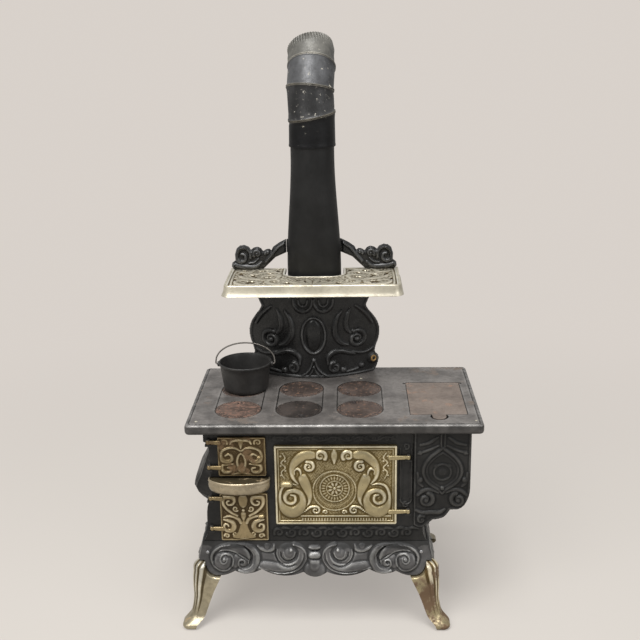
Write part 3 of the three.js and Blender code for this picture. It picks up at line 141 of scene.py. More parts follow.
def bar_skin(sections, hollow=None):
    """Closed sections along a path, with each end drawn in to its middle point."""
    ends = [np.broadcast_to(sections[k].mean(0), sections[k].shape) for k in (0, -1)]
    rows = np.concatenate([ends[0][None], sections, ends[1][None]])
    flat = None
    if hollow is not None:
        flat = np.concatenate([hollow[:1], hollow, hollow[-1:]]).ravel()
    return rows.reshape(-1, 3), [grid_faces(len(rows), sections.shape[1], False, True)], flat


def turned_skin(profile, centre, axis=(0, 0, 1), sides=64, closed=False):
    """A profile of (radius, height) turned about an axis through centre."""
    profile = np.asarray(profile, float)
    axis = np.asarray(axis, float) / np.linalg.norm(axis)
    across = np.cross(axis, (0.0, 1.0, 0.0) if abs(axis[1]) < 0.9 else (1.0, 0.0, 0.0))
    across /= np.linalg.norm(across)
    beside = np.cross(axis, across)
    angle = np.linspace(0, 2 * np.pi, sides, endpoint=False)[:, None, None]
    ring = np.cos(angle) * across + np.sin(angle) * beside
    points = np.asarray(centre) + profile[None, :, :1] * ring + profile[None, :, 1:] * axis
    faces = grid_faces(sides, len(profile), True, closed)
    return points.reshape(-1, 3), [faces], None


def screw_head(x, y, z, radius, axis, rise=0.8):
    """A low domed head, turned about the screw's axis."""
    profile = [(radius * math.cos(a), rise * math.sin(a)) for a in np.radians(np.linspace(0, 90, 7))]
    return turned_skin([(0, -0.8), (radius, -0.8)] + profile[:-1] + [(0, rise)], (x, y, z), axis, 24)


# %% Smooth lines
def smooth_line(knots, count=48):
    """A curve through the knots: a cubic between each two, whose slope at a knot is half the way
    from the knot before it to the knot after it."""
    p = np.asarray(knots, float)
    p = np.vstack([2 * p[0] - p[1], p, 2 * p[-1] - p[-2]])
    t = np.linspace(0, len(knots) - 1, count)
    i = np.minimum(t.astype(int), len(knots) - 2)
    t = (t - i)[:, None]
    a, b, c, d = p[i], p[i + 1], p[i + 2], p[i + 3]
    return 0.5 * (2 * b + (c - a) * t + (2 * a - 5 * b + 4 * c - d) * t ** 2
                  + (3 * b - a - 3 * c + d) * t ** 3)


def eased(pairs, place):
    """A smooth value through (place, value) pairs, by cubic steps with mean slopes."""
    x, y = np.array(pairs, float).T
    slope = np.gradient(y, x)
    i = np.clip(np.searchsorted(x, place) - 1, 0, len(x) - 2)
    span = x[i + 1] - x[i]
    t = np.clip((place - x[i]) / span, 0, 1)
    return ((2 * t ** 3 - 3 * t ** 2 + 1) * y[i] + (t ** 3 - 2 * t ** 2 + t) * span * slope[i]
            + (3 * t ** 2 - 2 * t ** 3) * y[i + 1] + (t ** 3 - t ** 2) * span * slope[i + 1])


def rod_skin(knots, radius, sides=14, count=60):
    """A rod with round ends along a smooth line. One ring is turned from the next without twist."""
    line = smooth_line(knots, count)
    tangent = np.gradient(line, axis=0)
    tangent /= np.linalg.norm(tangent, axis=1)[:, None]
    side = np.cross(tangent, (0.13, 0.71, 0.69))
    side /= np.linalg.norm(side, axis=1)[:, None]
    top = np.cross(tangent, side)
    s = np.linspace(0, 1, count)
    near_end = np.clip(np.abs(2 * s - 1) * (count - 1) - (count - 5), 0, 4)
    size = (radius * np.sqrt(np.clip(1 - (near_end / 4.3) ** 2, 0, 1)))[:, None, None]
    angle = np.linspace(0, 2 * np.pi, sides, endpoint=False)[None, :, None]
    return bar_skin(line[:, None] + size * (np.cos(angle) * side[:, None] + np.sin(angle) * top[:, None]))


# %% [markdown]
# ## Cast ornament
# A foundry pattern is carved as overlapping strokes: scrolls, leaves and beads, each one round on
# top and sharp where it meets the next. Here a stroke is a smooth line of (across, up, half
# width). The height at a point of the casting is the largest dome that any stroke raises there,
# which gives the same crisp valleys as the carver's chisel and needs no sculpting.
# %% Strokes
def stroke(knots, height, count=44):
    """A line of (across, up, half width) knots, with the height of its crest."""
    return smooth_line(knots, count), height


def volute(x, z, radius, start, turns, width, height, hand=1, lead=(), eye=0.16, count=90):
    """A scroll that winds in: the radius falls evenly from its start to the eye."""
    t = np.linspace(0, 1, 26)
    angle = math.radians(start) + hand * 2 * np.pi * turns * t
    r = radius * (1 - (1 - eye) * t)
    coil = np.stack([x + r * np.cos(angle), z + r * np.sin(angle), width * (1 - 0.5 * t)], 1)
    return stroke(list(lead) + coil.tolist(), height, count)


def bead(x, z, radius, height):
    """One round bead."""
    return np.array([[x, z, radius]]), height


def circle(x, z, radius, width, height, start=0, end=360, stretch=1.0):
    """A plain ring or arc."""
    angle = np.radians(np.linspace(start, end, 90))
    return np.stack([x + radius * np.cos(angle), z + stretch * radius * np.sin(angle),
                     np.full(90, float(width))], 1), height


def both_sides(strokes):
    """The strokes and their mirror image."""
    return list(strokes) + [(line * (-1, 1, 1), height) for line, height in strokes]


def moved(strokes, x, z):
    """The strokes laid out round another middle."""
    return [(line + (x, z, 0), height) for line, height in strokes]


def bolder(strokes, wide=1.0, high=1.0):
    """The strokes drawn wider and higher."""
    return [(line * (1, 1, wide), high * height) for line, height in strokes]


def raised(across, up, strokes, roundness=0.75):
    """Height of the ornament: the greatest of all domes, h (1 - (distance / width)^2)^roundness."""
    relief = np.zeros_like(across)
    for line, height in strokes:
        x, z, w = line.T
        reach = w.max()
        near = (across > x.min() - reach) & (across < x.max() + reach)
        near &= (up > z.min() - reach) & (up < z.max() + reach)
        if not near.any():
            continue
        far = ((across[near][:, None] - x) ** 2 + (up[near][:, None] - z) ** 2) / w ** 2
        crest = height * np.sqrt(w / reach)
        dome = (crest * np.clip(1 - far, 0, None) ** roundness).max(1)
        relief[near] = np.maximum(relief[near], dome)
    return relief


def carved(across, up, domes, ridges=(), grooves=()):
    """Relief in three layers: domes, fine ridges laid on them, and grooves cut into them."""
    return raised(across, up, domes) + raised(across, up, ridges, 0.6) - raised(across, up, grooves, 0.6)


def half_round(t):
    """Height of a half circle over its middle line, which t crosses from -1 to 1."""
    return np.sqrt(np.clip(1 - t ** 2, 0, None))


def ground_worms(across, up, size=3.2, height=0.45):
    """The wriggling ground texture of cast ornament: a product of sines, each bent by the other."""
    a, b = 2 * np.pi * across / size, 2 * np.pi * up / size
    return height * (0.5 + 0.5 * np.sin(a + 1.6 * np.sin(0.43 * b)) * np.sin(b + 1.6 * np.sin(0.37 * a)))


def blurred(height, reach):
    """Mean over a square window, by differences of running sums."""
    for axis in (0, 1):
        pad = [(0, 0), (0, 0)]
        pad[axis] = (reach + 1, reach)
        sums = np.cumsum(np.pad(height, pad, mode="edge"), axis=axis)
        size, width = sums.shape[axis], 2 * reach + 1
        ahead, behind = np.take(sums, range(width, size), axis), np.take(sums, range(0, size - width), axis)
        height = (ahead - behind) / width
    return height


# %% Sheets with any outline
def rounded_rectangle(x, z, left, right, bottom, top, radius):
    """Distance inside a rectangle with round corners, negative outside it."""
    dx = np.abs(x - (left + right) / 2) - (right - left) / 2 + radius
    dz = np.abs(z - (bottom + top) / 2) - (top - bottom) / 2 + radius
    outside = np.hypot(np.clip(dx, 0, None), np.clip(dz, 0, None))
    return radius - outside - np.minimum(np.maximum(dx, dz), 0)


def outline_distance(x, z, outline):
    """Distance inside a closed outline: to its nearest edge, with its sign from edge crossings."""
    a = np.asarray(outline, float)
    b = np.roll(a, -1, axis=0)
    edge = b - a
    px, pz = x.ravel()[:, None], z.ravel()[:, None]
    t = ((px - a[:, 0]) * edge[:, 0] + (pz - a[:, 1]) * edge[:, 1]) / ((edge ** 2).sum(1) + 1e-9)
    t = np.clip(t, 0, 1)
    far = np.hypot(px - a[:, 0] - t * edge[:, 0], pz - a[:, 1] - t * edge[:, 1]).min(1)
    level = (a[:, 1] > pz) != (b[:, 1] > pz)
    rise = np.where(edge[:, 1] == 0, 1, edge[:, 1])
    crossed = level & (px < a[:, 0] + (pz - a[:, 1]) * edge[:, 0] / rise)
    return (far * np.where(crossed.sum(1) % 2, 1, -1)).reshape(x.shape)


def edge_drop(distance, radius):
    """How far a rounded edge lies below the face, by the height of a quarter circle."""
    t = np.clip(radius - distance, 0, radius)
    return radius - np.sqrt(np.clip(radius ** 2 - t ** 2, 0, None))


def pattern(left, right, bottom, top, step):
    """The grid of a flat pattern."""
    u = np.arange(left - step, right + 2 * step, step)
    v = np.arange(bottom - step, top + 2 * step, step)
    return np.meshgrid(u, v, indexing="ij")


def cast_sheet(across, up, inside, place, front, back, relief=None, ground=0.0, under=0.0):
    """A casting over a flat pattern. Points near the outline slide onto it along the steepest
    way. Cells inside it become a front and a back skin, and its free edges become a wall."""
    step = across[1, 0] - across[0, 0]
    gx, gz = np.gradient(inside, step)
    steep = np.hypot(gx, gz) + 1e-6
    away = inside / steep
    near = np.abs(away) < 0.55 * step
    u = across - np.where(near, away * gx / steep, 0)
    v = up - np.where(near, away * gz / steep, 0)
    solid = away > -0.55 * step
    number = np.arange(solid.size).reshape(solid.shape)
    first, last = np.s_[:-1], np.s_[1:]
    ring = [(first, first), (last, first), (last, last), (first, last)]
    held = np.stack([solid[corner] for corner in ring], -1)
    names = np.stack([number[corner] for corner in ring], -1)
    quads = names[held.sum(-1) == 4]
    three = held.sum(-1) == 3
    corner_out = np.argmin(held[three], -1)
    order = (corner_out[:, None] + np.array([1, 2, 3])) % 4
    triangles = np.take_along_axis(names[three], order, 1)
    edges = np.vstack([np.stack([f, np.roll(f, -1, 1)], -1).reshape(-1, 2) for f in (quads, triangles)])
    key = edges[:, 0] * solid.size + edges[:, 1]
    back_key = edges[:, 1] * solid.size + edges[:, 0]
    free = edges[~np.isin(key, back_key)]
    wall = np.stack([free[:, 1], free[:, 0], free[:, 0] + solid.size, free[:, 1] + solid.size], -1)
    faces = [np.vstack([quads, quads[:, ::-1] + solid.size, wall]),
             np.vstack([triangles, triangles[:, ::-1] + solid.size])]
    points = np.vstack([place(u, v, front).reshape(-1, 3), place(u, v, back).reshape(-1, 3)])
    # The back skin takes the hollow number under, so a high value darkens the underside as painted shade.
    hollow = np.full(len(points), float(under))
    if relief is not None:
        # The hollow number is high in hollows and on the low ground, which the finish darkens as tarnish
        # and painted shade, and low on crests, which it lightens as wear and painted highlight.
        low = ground * np.clip(1 - relief / 0.9, 0, 1)
        hollow[:solid.size] = (blurred(relief, max(1, round(2.6 / step))) - relief + low).ravel()
    used = np.unique(np.concatenate([f.ravel() for f in faces]))
    renumber = np.zeros(len(points), int)
    renumber[used] = np.arange(len(used))
    return points[used], [renumber[f] for f in faces], hollow[used]


def upright(y):
    """Places a pattern on a flat upright face: its height comes forward."""
    return lambda u, v, h: np.stack([u, y - h + 0 * u, v], -1)


# %% [markdown]
# ## Finishes
# The range has four metals: blacked cast iron, iron that use has rubbed grey or rusted, nickel
# plate that has gone warm and dirty in its recesses, and painted sheet. Some colours also carry
# painted light: the cooktop's grey is partly a painted reflection, and the body's iron is darker
# than the skirt's as painted shade. They share two effects, so those are node groups: one paints
# shade into recesses and highlight onto crests by the hollow number, along with the dirt and wear
# there, and one lays patches such as rust.
# %% Node helpers
def put(tree, kind, **settings):
    """One node. Names of inputs set their values, other names set the node's own settings."""
    node = tree.nodes.new(kind)
    for name, value in settings.items():
        if hasattr(node, name):
            setattr(node, name, value)
        else:
            node.inputs[name.replace("_", " ")].default_value = value
    return node


def join(tree, source, node, socket):
    """Links an output to an input, by name or by number."""
    tree.links.new(source, node.inputs[socket])


def new_group(name, takes, gives):
    """An empty node group with named inputs and outputs."""
    group = bpy.data.node_groups.new(name, "ShaderNodeTree")
    for label, kind, value in takes:
        socket = group.interface.new_socket(label, in_out="INPUT", socket_type=kind)
        if value is not None:
            socket.default_value = value
    for label, kind in gives:
        group.interface.new_socket(label, in_out="OUTPUT", socket_type=kind)
    return group, group.nodes.new("NodeGroupInput"), group.nodes.new("NodeGroupOutput")


def feed(tree, node, socket, value):
    """Links a socket to an input, or sets the input to a plain number or colour."""
    if isinstance(value, bpy.types.NodeSocket):
        join(tree, value, node, socket)
    else:
        node.inputs[socket].default_value = (*value, 1.0) if isinstance(value, tuple) else value


def ramp(tree, source, low, high, to_low=0.0, to_high=1.0):
    """A smooth step from low to high."""
    node = put(tree, "ShaderNodeMapRange", interpolation_type="SMOOTHSTEP")
    for socket, value in enumerate((source, low, high, to_low, to_high)):
        feed(tree, node, socket, value)
    return node.outputs[0]


def blend(tree, factor, first, second, mode="MIX"):
    """Two colours mixed. Each may be a socket or a plain colour."""
    node = put(tree, "ShaderNodeMix", data_type="RGBA", blend_type=mode)
    for socket, value in ((0, factor), (6, first), (7, second)):
        feed(tree, node, socket, value)
    return node.outputs[2]


def between(tree, factor, first, second):
    """A number that goes from the first to the second with the factor."""
    node = put(tree, "ShaderNodeMix", data_type="FLOAT")
    for socket, value in ((0, factor), (2, first), (3, second)):
        feed(tree, node, socket, value)
    return node.outputs[0]


def figure(tree, operation, first, second):
    """One step of arithmetic on numbers or sockets."""
    node = put(tree, "ShaderNodeMath", operation=operation)
    feed(tree, node, 0, first)
    feed(tree, node, 1, second)
    return node.outputs[0]


# %% Group: patches
patches, take, give = new_group(
    "Patches", [("Vector", "NodeSocketVector", None), ("Scale", "NodeSocketFloat", 30.0),
                ("Spread", "NodeSocketFloat", 0.5), ("Softness", "NodeSocketFloat", 0.06)],
    [("Mask", "NodeSocketFloat")])
coarse = put(patches, "ShaderNodeTexNoise", Detail=6.0, Roughness=0.62)
join(patches, take.outputs["Vector"], coarse, "Vector")
join(patches, take.outputs["Scale"], coarse, "Scale")
threshold = figure(patches, "SUBTRACT", 1.0, take.outputs["Spread"])
mask_low = figure(patches, "SUBTRACT", threshold, take.outputs["Softness"])
mask_high = figure(patches, "ADD", threshold, take.outputs["Softness"])
join(patches, ramp(patches, coarse.outputs["Fac"], mask_low, mask_high), give, "Mask")

# %% Group: relief shading
relief_shade, take, give = new_group(
    "Relief shading", [("Vector", "NodeSocketVector", None), ("Hollow", "NodeSocketFloat", 0.0),
                       ("Reach", "NodeSocketFloat", 0.5), ("Scale", "NodeSocketFloat", 90.0)],
    [("Recess", "NodeSocketFloat"), ("Crest", "NodeSocketFloat"), ("Grain", "NodeSocketFloat")])
grain = put(relief_shade, "ShaderNodeTexNoise", Detail=5.0, Roughness=0.6)
join(relief_shade, take.outputs["Vector"], grain, "Vector")
join(relief_shade, take.outputs["Scale"], grain, "Scale")
uneven = figure(relief_shade, "SUBTRACT", grain.outputs["Fac"], 0.5)
uneven = figure(relief_shade, "MULTIPLY", uneven, 0.9)
depth = figure(relief_shade, "DIVIDE", take.outputs["Hollow"], take.outputs["Reach"])
depth = figure(relief_shade, "ADD", depth, uneven)
# Recess: dirt and painted shade in the hollows. Crest: wear and painted highlight on the high points.
join(relief_shade, ramp(relief_shade, depth, -0.15, 0.75), give, "Recess")
join(relief_shade, ramp(relief_shade, depth, -0.35, -1.3), give, "Crest")
join(relief_shade, grain.outputs["Fac"], give, "Grain")


# %% A cast or plated metal
grain_scale, rust_roughness = 900.0, 0.85


def metal(name, base, recess, crest, metallic, rough, rough_recess=None, reach=0.5, mottle=0.25,
          rust=None, rust_scale=45.0, grain_height=0.00005, gloss=0.5):
    """Base, recess and crest colours (recess: dirt and painted shade; crest: wear and painted highlight),
    mottled and rusted, with the fine grain of sand casting.
    The rust is a pair of how far its patches spread, from 0 to 1, and their colour."""
    material = bpy.data.materials.new(name)
    material.use_nodes = True
    tree = material.node_tree
    shader = tree.nodes["Principled BSDF"]
    place = put(tree, "ShaderNodeTexCoord").outputs["Object"]
    hollow = put(tree, "ShaderNodeAttribute", attribute_name="hollow").outputs["Fac"]
    shade = put(tree, "ShaderNodeGroup", node_tree=relief_shade, Reach=reach, Scale=140.0)
    join(tree, place, shade, "Vector")
    join(tree, hollow, shade, "Hollow")
    cloud = put(tree, "ShaderNodeGroup", node_tree=patches, Scale=24.0, Spread=0.5, Softness=0.22)
    join(tree, place, cloud, "Vector")
    colour = blend(tree, shade.outputs["Recess"], base, recess)
    colour = blend(tree, shade.outputs["Crest"], colour, crest)
    dim = ramp(tree, cloud.outputs["Mask"], 0.0, 1.0, 1.0 - mottle, 1.0 + mottle)
    grey = put(tree, "ShaderNodeCombineColor")
    for socket in range(3):
        join(tree, dim, grey, socket)
    colour = blend(tree, 1.0, colour, grey.outputs[0], "MULTIPLY")
    roughness = ramp(tree, shade.outputs["Grain"], 0.3, 0.7, rough - 0.06, rough + 0.08)
    if rough_recess is not None:
        roughness = between(tree, shade.outputs["Recess"], roughness, rough_recess)
    if rust:
        spread, rust_colour = rust
        spot = put(tree, "ShaderNodeGroup", node_tree=patches, Scale=rust_scale, Spread=spread,
                   Softness=0.05)
        join(tree, place, spot, "Vector")
        colour = blend(tree, spot.outputs["Mask"], colour, rust_colour)
        roughness = between(tree, spot.outputs["Mask"], roughness, rust_roughness)
        join(tree, ramp(tree, spot.outputs["Mask"], 0.0, 1.0, metallic, 0.0), shader, "Metallic")
    else:
        shader.inputs["Metallic"].default_value = metallic
    fine = put(tree, "ShaderNodeTexNoise", Scale=grain_scale, Detail=3.0)
    join(tree, place, fine, "Vector")
    bump = put(tree, "ShaderNodeBump", Strength=1.0, Distance=grain_height)
    join(tree, fine.outputs["Fac"], bump, "Height")
    join(tree, bump.outputs[0], shader, "Normal")
    join(tree, colour, shader, "Base Color")
    join(tree, roughness, shader, "Roughness")
    shader.inputs["Specular IOR Level"].default_value = gloss
    return material


black_iron = metal("Graphite iron", (0.068, 0.066, 0.066), (0.022, 0.022, 0.022), (0.15, 0.148, 0.143),
                   0.4, 0.36, 0.5, mottle=0.35)
plate_black = metal("Gloss black iron", (0.014, 0.014, 0.014), (0.006, 0.006, 0.006), (0.055, 0.055, 0.055),
                    0.3, 0.26, 0.45, mottle=0.3, gloss=0.42)
# The body's iron is the same blacked iron as the skirt's, darkened as painted shade on the upright faces
# under the cooktop.
body_iron = metal("Body iron darkened as painted shade", (0.013, 0.0125, 0.012), (0.005, 0.005, 0.005), (0.034, 0.033, 0.031),
                  0.2, 0.42, 0.6, mottle=0.4, gloss=0.3)
# The cooktop's light grey is partly worn iron and partly a painted reflection of the pale wall.
grey_iron = metal("Worn cooktop iron with painted reflection", (0.165, 0.152, 0.143), (0.03, 0.028, 0.026), (0.22, 0.21, 0.2),
                  0.5, 0.38, mottle=0.3, rust=(0.38, (0.1, 0.08, 0.066)), rust_scale=22.0)
# The nose is the same iron as the top, darker as painted shade on its upright face.
nose_iron = metal("Cooktop nose iron with painted shade", (0.055, 0.052, 0.05), (0.025, 0.023, 0.022), (0.22, 0.21, 0.2),
                  0.45, 0.4, mottle=0.4, rust=(0.22, (0.09, 0.07, 0.055)), rust_scale=30.0)
lid_iron = metal("Rusty lid iron", (0.068, 0.05, 0.042), (0.028, 0.02, 0.018), (0.12, 0.09, 0.075),
                 0.3, 0.55, mottle=0.45, rust=(0.4, (0.125, 0.068, 0.042)), rust_scale=170.0)
red_lid_iron = metal("Red rusted lid iron", (0.085, 0.058, 0.046), (0.03, 0.02, 0.016), (0.13, 0.09, 0.075),
                     0.25, 0.6, mottle=0.4, rust=(0.46, (0.125, 0.07, 0.05)), rust_scale=150.0)
dark_lid_iron = metal("Dark lid iron", (0.04, 0.032, 0.028), (0.02, 0.016, 0.014), (0.1, 0.08, 0.07),
                      0.3, 0.55, mottle=0.45, rust=(0.34, (0.1, 0.06, 0.04)), rust_scale=200.0)
pan_iron = metal("Kettle iron", (0.022, 0.021, 0.02), (0.012, 0.011, 0.01), (0.06, 0.056, 0.052),
                 0.3, 0.5, mottle=0.35, grain_height=0.00009)
water_lid_iron = metal("Reservoir lid iron", (0.2, 0.16, 0.135), (0.05, 0.04, 0.035), (0.26, 0.22, 0.19),
                       0.45, 0.42, mottle=0.2, rust=(0.4, (0.17, 0.11, 0.08)), rust_scale=36.0)
nickel_look = dict(metallic=0.72, rough=0.33, rough_recess=0.6, reach=0.45, mottle=0.22,
                   grain_height=0.00003)
nickel = metal("Old nickel plate", (0.32, 0.265, 0.15), (0.1, 0.068, 0.02), (0.55, 0.5, 0.37),
               rust=(0.3, (0.22, 0.15, 0.08)), rust_scale=38.0, **nickel_look)
hearth_nickel = metal("Hearth nickel plate", (0.31, 0.26, 0.18), (0.07, 0.055, 0.03), (0.5, 0.45, 0.36),
                      rust=(0.38, (0.24, 0.175, 0.1)), rust_scale=40.0, **nickel_look)
leg_nickel = metal("Leg nickel plate", (0.32, 0.28, 0.195), (0.09, 0.068, 0.034), (0.56, 0.53, 0.45),
                   rust=(0.3, (0.22, 0.16, 0.09)), rust_scale=38.0, **nickel_look)
worn_nickel = metal("Worn nickel plate", (0.33, 0.275, 0.165), (0.09, 0.058, 0.02), (0.6, 0.54, 0.41),
                    rust=(0.47, (0.1, 0.06, 0.03)), rust_scale=30.0, **nickel_look)
shelf_nickel = metal("Shelf nickel plate", (0.56, 0.52, 0.42), (0.1, 0.075, 0.04), (0.74, 0.71, 0.63),
                     0.7, 0.36, 0.6, reach=0.6, mottle=0.14, rust=(0.2, (0.24, 0.17, 0.1)), rust_scale=70.0)
brown_nickel = metal("Tarnished nickel plate", (0.175, 0.13, 0.065), (0.055, 0.034, 0.012),
                     (0.4, 0.34, 0.22), rust=(0.42, (0.105, 0.062, 0.026)), rust_scale=42.0,
                     **nickel_look)
ash_nickel = metal("Ash door nickel plate", (0.24, 0.185, 0.1), (0.05, 0.031, 0.011), (0.5, 0.44, 0.31),
                   rust=(0.3, (0.12, 0.07, 0.03)), rust_scale=55.0, **nickel_look)
pipe_black = metal("Black stovepipe", (0.008, 0.008, 0.008), (0.006, 0.006, 0.006), (0.02, 0.02, 0.02),
                   0.1, 0.42, mottle=0.3, grain_height=0.00002, gloss=0.27)
worn_brass = metal("Worn brassy eye", (0.3, 0.19, 0.075), (0.06, 0.035, 0.015), (0.5, 0.38, 0.2),
                   0.5, 0.45, mottle=0.4, rust=(0.4, (0.1, 0.055, 0.02)), rust_scale=160.0)
elbow_grey = metal("Grey elbow", (0.06, 0.061, 0.064), (0.02, 0.02, 0.02), (0.13, 0.12, 0.1),
                   0.35, 0.46, mottle=0.4, rust=(0.33, (0.42, 0.39, 0.33)), rust_scale=80.0,
                   grain_height=0.00002)
outlet_tin = metal("Dull tin", (0.1, 0.097, 0.087), (0.06, 0.056, 0.048), (0.17, 0.16, 0.14),
                   0.3, 0.52, mottle=0.35, rust=(0.3, (0.4, 0.37, 0.32)), rust_scale=110.0,
                   grain_height=0.00002)
elbow_black = metal("Dark elbow", (0.028, 0.028, 0.029), (0.01, 0.01, 0.01), (0.1, 0.09, 0.072),
                    0.2, 0.42, mottle=0.5, rust=(0.34, (0.34, 0.32, 0.28)), rust_scale=190.0,
                    grain_height=0.00002, gloss=0.4)
cuff_black = metal("Black cuff", (0.005, 0.005, 0.0055), (0.004, 0.004, 0.004), (0.06, 0.054, 0.044),
                   0.1, 0.38, mottle=0.4, rust=(0.31, (0.32, 0.3, 0.24)), rust_scale=70.0,
                   grain_height=0.00002, gloss=0.2)
wire = metal("Tarnished wire", (0.12, 0.11, 0.1), (0.05, 0.045, 0.04), (0.3, 0.28, 0.25), 0.8, 0.35)
tank_sheet = metal("Tank sheet", (0.3, 0.3, 0.31), (0.1, 0.1, 0.1), (0.4, 0.4, 0.4), 0.7, 0.36)

finishes = {"black_iron": body_iron, "grey_iron": grey_iron, "rusty_iron": lid_iron, "nickel": nickel,
            "black_sheet": pipe_black, "grey_sheet": tank_sheet, "steel": wire}
node_slots = {row["node"]: row["material_slot"] for row in frame["record"]["subparts"]}
for node_name, node_object in frame["nodes"].items():
    node_object.data.materials.clear()
    node_object.data.materials.append(finishes[node_slots[node_name]])
print("finishes:", len(bpy.data.materials))

# %% [markdown]
# ## The doors
# Each door is one nickel plated casting: a plate with a double rim, scrolls and leaves, two
# fingers that reach to the hinge and a lip for the thumb. The plate is a cast sheet, and the
# fingers are bars whose section shrinks towards the knuckle.
# %% Oven door ornament
leaf_side = [
    stroke([(32, 51, 6.5), (38, 51, 8.6), (47, 49.5, 8.6), (56, 43, 7.8), (62.5, 34, 6.4), (65, 23, 4.8),
            (63, 12, 3.2), (56, 3, 1.4)], 2.6),
    volute(39.5, 32, 8.6, 75, 1.55, 3.7, 2.3),
    stroke([(51, 17, 1.2), (52.5, 25, 2.1), (57, 28.5, 2.6), (61.5, 25, 2.2), (61, 19, 1.3)], 1.9),
    stroke([(46, 17, 3), (48, 11, 8), (44.5, 2, 8.2), (41, -8, 6.8), (38.5, -18, 4.8), (39.5, -28, 2.8),
            (44, -36, 1.2)], 2.2),
    stroke([(58, 1, 1), (68, 3, 2), (78, -1, 2.4), (83.5, -12, 2.8), (84, -26, 4), (77, -40, 8.4),
            (66, -45.5, 10), (55, -40, 9.2), (49, -27, 6.2), (52, -14.5, 4.8), (61, -9, 4.4),
            (70.5, -10.5, 4.2), (76.5, -18, 3.9), (75, -27, 3.6), (67, -30.5, 3.2), (61, -26, 2.8),
            (61.5, -18, 2.4), (67.5, -15.5, 2)], 2.8, 130),
    volute(21, 50, 8.3, 215, 1.45, 4.3, 2.4, hand=-1),
    volute(29.5, -42, 6.6, 80, 1.35, 2.4, 1.8, lead=[(54, -49, 1), (46, -43.5, 1.9), (38, -37, 2.3)]),
    volute(14.5, -45.5, 3.6, 0, 1.2, 1.5, 1.2),
    stroke([(79, 54, 1), (75, 46, 1.3), (81, 38, 1.3), (75, 30, 1.3), (81, 22, 1.3), (77, 12, 1)], 0.9),
    *[bead(82 - 7 * (k % 2), 49 - 8 * k, 1.9, 0.9) for k in range(5)],
]
rosette_z = -5.0


def petals(first, last, wide, height, turns):
    """Short strokes that point away from the rosette's middle, widest half way out."""
    reach = ((first, 0.4 * wide), (0.5 * (first + last), wide), (last, 0.5 * wide))
    return [stroke([(r * math.cos(a), r * math.sin(a) + rosette_z, w) for r, w in reach], height, 12)
            for a in np.radians(turns)]


rosette = [circle(0, rosette_z - 4, 33, 1.3, 1.2), circle(0, rosette_z - 1, 28.6, 0.9, 0.8),
           circle(0, rosette_z, 22.4, 1.1, 1.2), circle(0, rosette_z, 12.2, 1.0, 1.1),
           bead(0, rosette_z, 2.8, 2.0)]
rosette += petals(13.8, 20.4, 1.6, 0.9, np.arange(0, 360, 15))
rosette += petals(3, 10.6, 2.4, 1.5, np.arange(22.5, 382, 45))
oven_ornament = both_sides(bolder(leaf_side, high=1.4)) + rosette + [
    stroke([(0, 59, 2.4), (0, 52, 5.4), (0, 45, 4.6), (0, 37, 1.4)], 2.6),
    stroke([(-52, -52, 1.5), (0, -52, 1.7), (86, -52, 1.7)], 1.4, 120),
    stroke([(-86, -63.2, 1), (86, -63.2, 1)], 1.0, 150),
    *[stroke([(x, -60.6, 1.3), (x, -56.4, 1.3)], 1.2, 6) for x in np.arange(-50, 82, 4.3)],
]

# %% Door castings
door_back, hinge_y, lip_back, plate_thick = 17.7, 14.5, 14.4, 3.3


def door_plate(left, right, bottom, top, ornament, step, rim=2.2, rim_height=1.7, ground=0.18):
    """Thickness = plate + double rim + the greatest stroke, less its rounded edge."""
    u, v = pattern(left, right, bottom, top, step)
    inside = rounded_rectangle(u, v, left, right, bottom, top, 3)
    ridge = rim_height * half_round((inside - rim) / rim)
    ridge = np.maximum(ridge, 0.6 * rim_height * half_round((inside - 2.9 * rim) / 1.1))
    relief = np.maximum(raised(u, v, ornament) * np.clip((inside - 1.5) / 2, 0, 1), ridge)
    relief = np.maximum(relief, ground_worms(u, v) * np.clip((inside - 3 * rim) / 2, 0, 1))
    front = plate_thick + relief - edge_drop(inside, 1.2)
    return cast_sheet(u, v, inside, upright(door_back), front, 0 * u, relief, ground)


def finger(hinge_x, tip_x, z):
    """A bar from the door's face to its knuckle: the section is a rounded square that shrinks."""
    x = np.linspace(tip_x, hinge_x, 24)[:, None]
    t = np.linspace(0, 1, 24)[:, None]
    half = (4.1 - 1.2 * t) * np.sqrt(np.clip(1 - np.clip(1 - t / 0.12, 0, 1) ** 2, 0.02, 1))
    angle = np.linspace(0, 2 * np.pi, 20, endpoint=False)
    deep, tall = (np.sign(wave) * np.abs(wave) ** 0.7 for wave in (np.cos(angle), np.sin(angle)))
    return bar_skin(np.stack(np.broadcast_arrays(x, 12.6 + 1.7 * t + 2.4 * deep, z + half * tall), -1))


def knuckle(x, z):
    """The eye of a hinge: a ring with soft shoulders."""
    profile = [(1.9, -3), (2.5, -3), (3.0, -2.6), (3.2, -2), (3.2, 2), (3.0, 2.6), (2.5, 3), (1.9, 3)]
    return turned_skin(profile, (x, hinge_y, z), sides=28, closed=True)


def thumb_lip(x, z, half_width, proud=7.0, height=5.0):
    """A cast lip: a hooked section that thins and narrows towards both ends."""
    hook = np.array([(0, 5.2), (-3.2, 4.9), (-5.6, 3.6), (-7, 1.4), (-7, 0), (-6.2, -0.5), (-5.2, 0.4),
                     (-3.8, 1.6), (-2, 2.2), (0, 2.2)]) * (proud / 7, height / 5)
    s = np.linspace(-1, 1, 22)
    size = np.sqrt(np.clip(1 - np.abs(s) ** 5, 0.03, 1))[:, None]
    ring = np.broadcast_arrays(x + half_width * s[:, None], lip_back + hook[:, 0] * size,
                               z + hook[:, 1] * size)
    return bar_skin(np.stack(ring, -1))


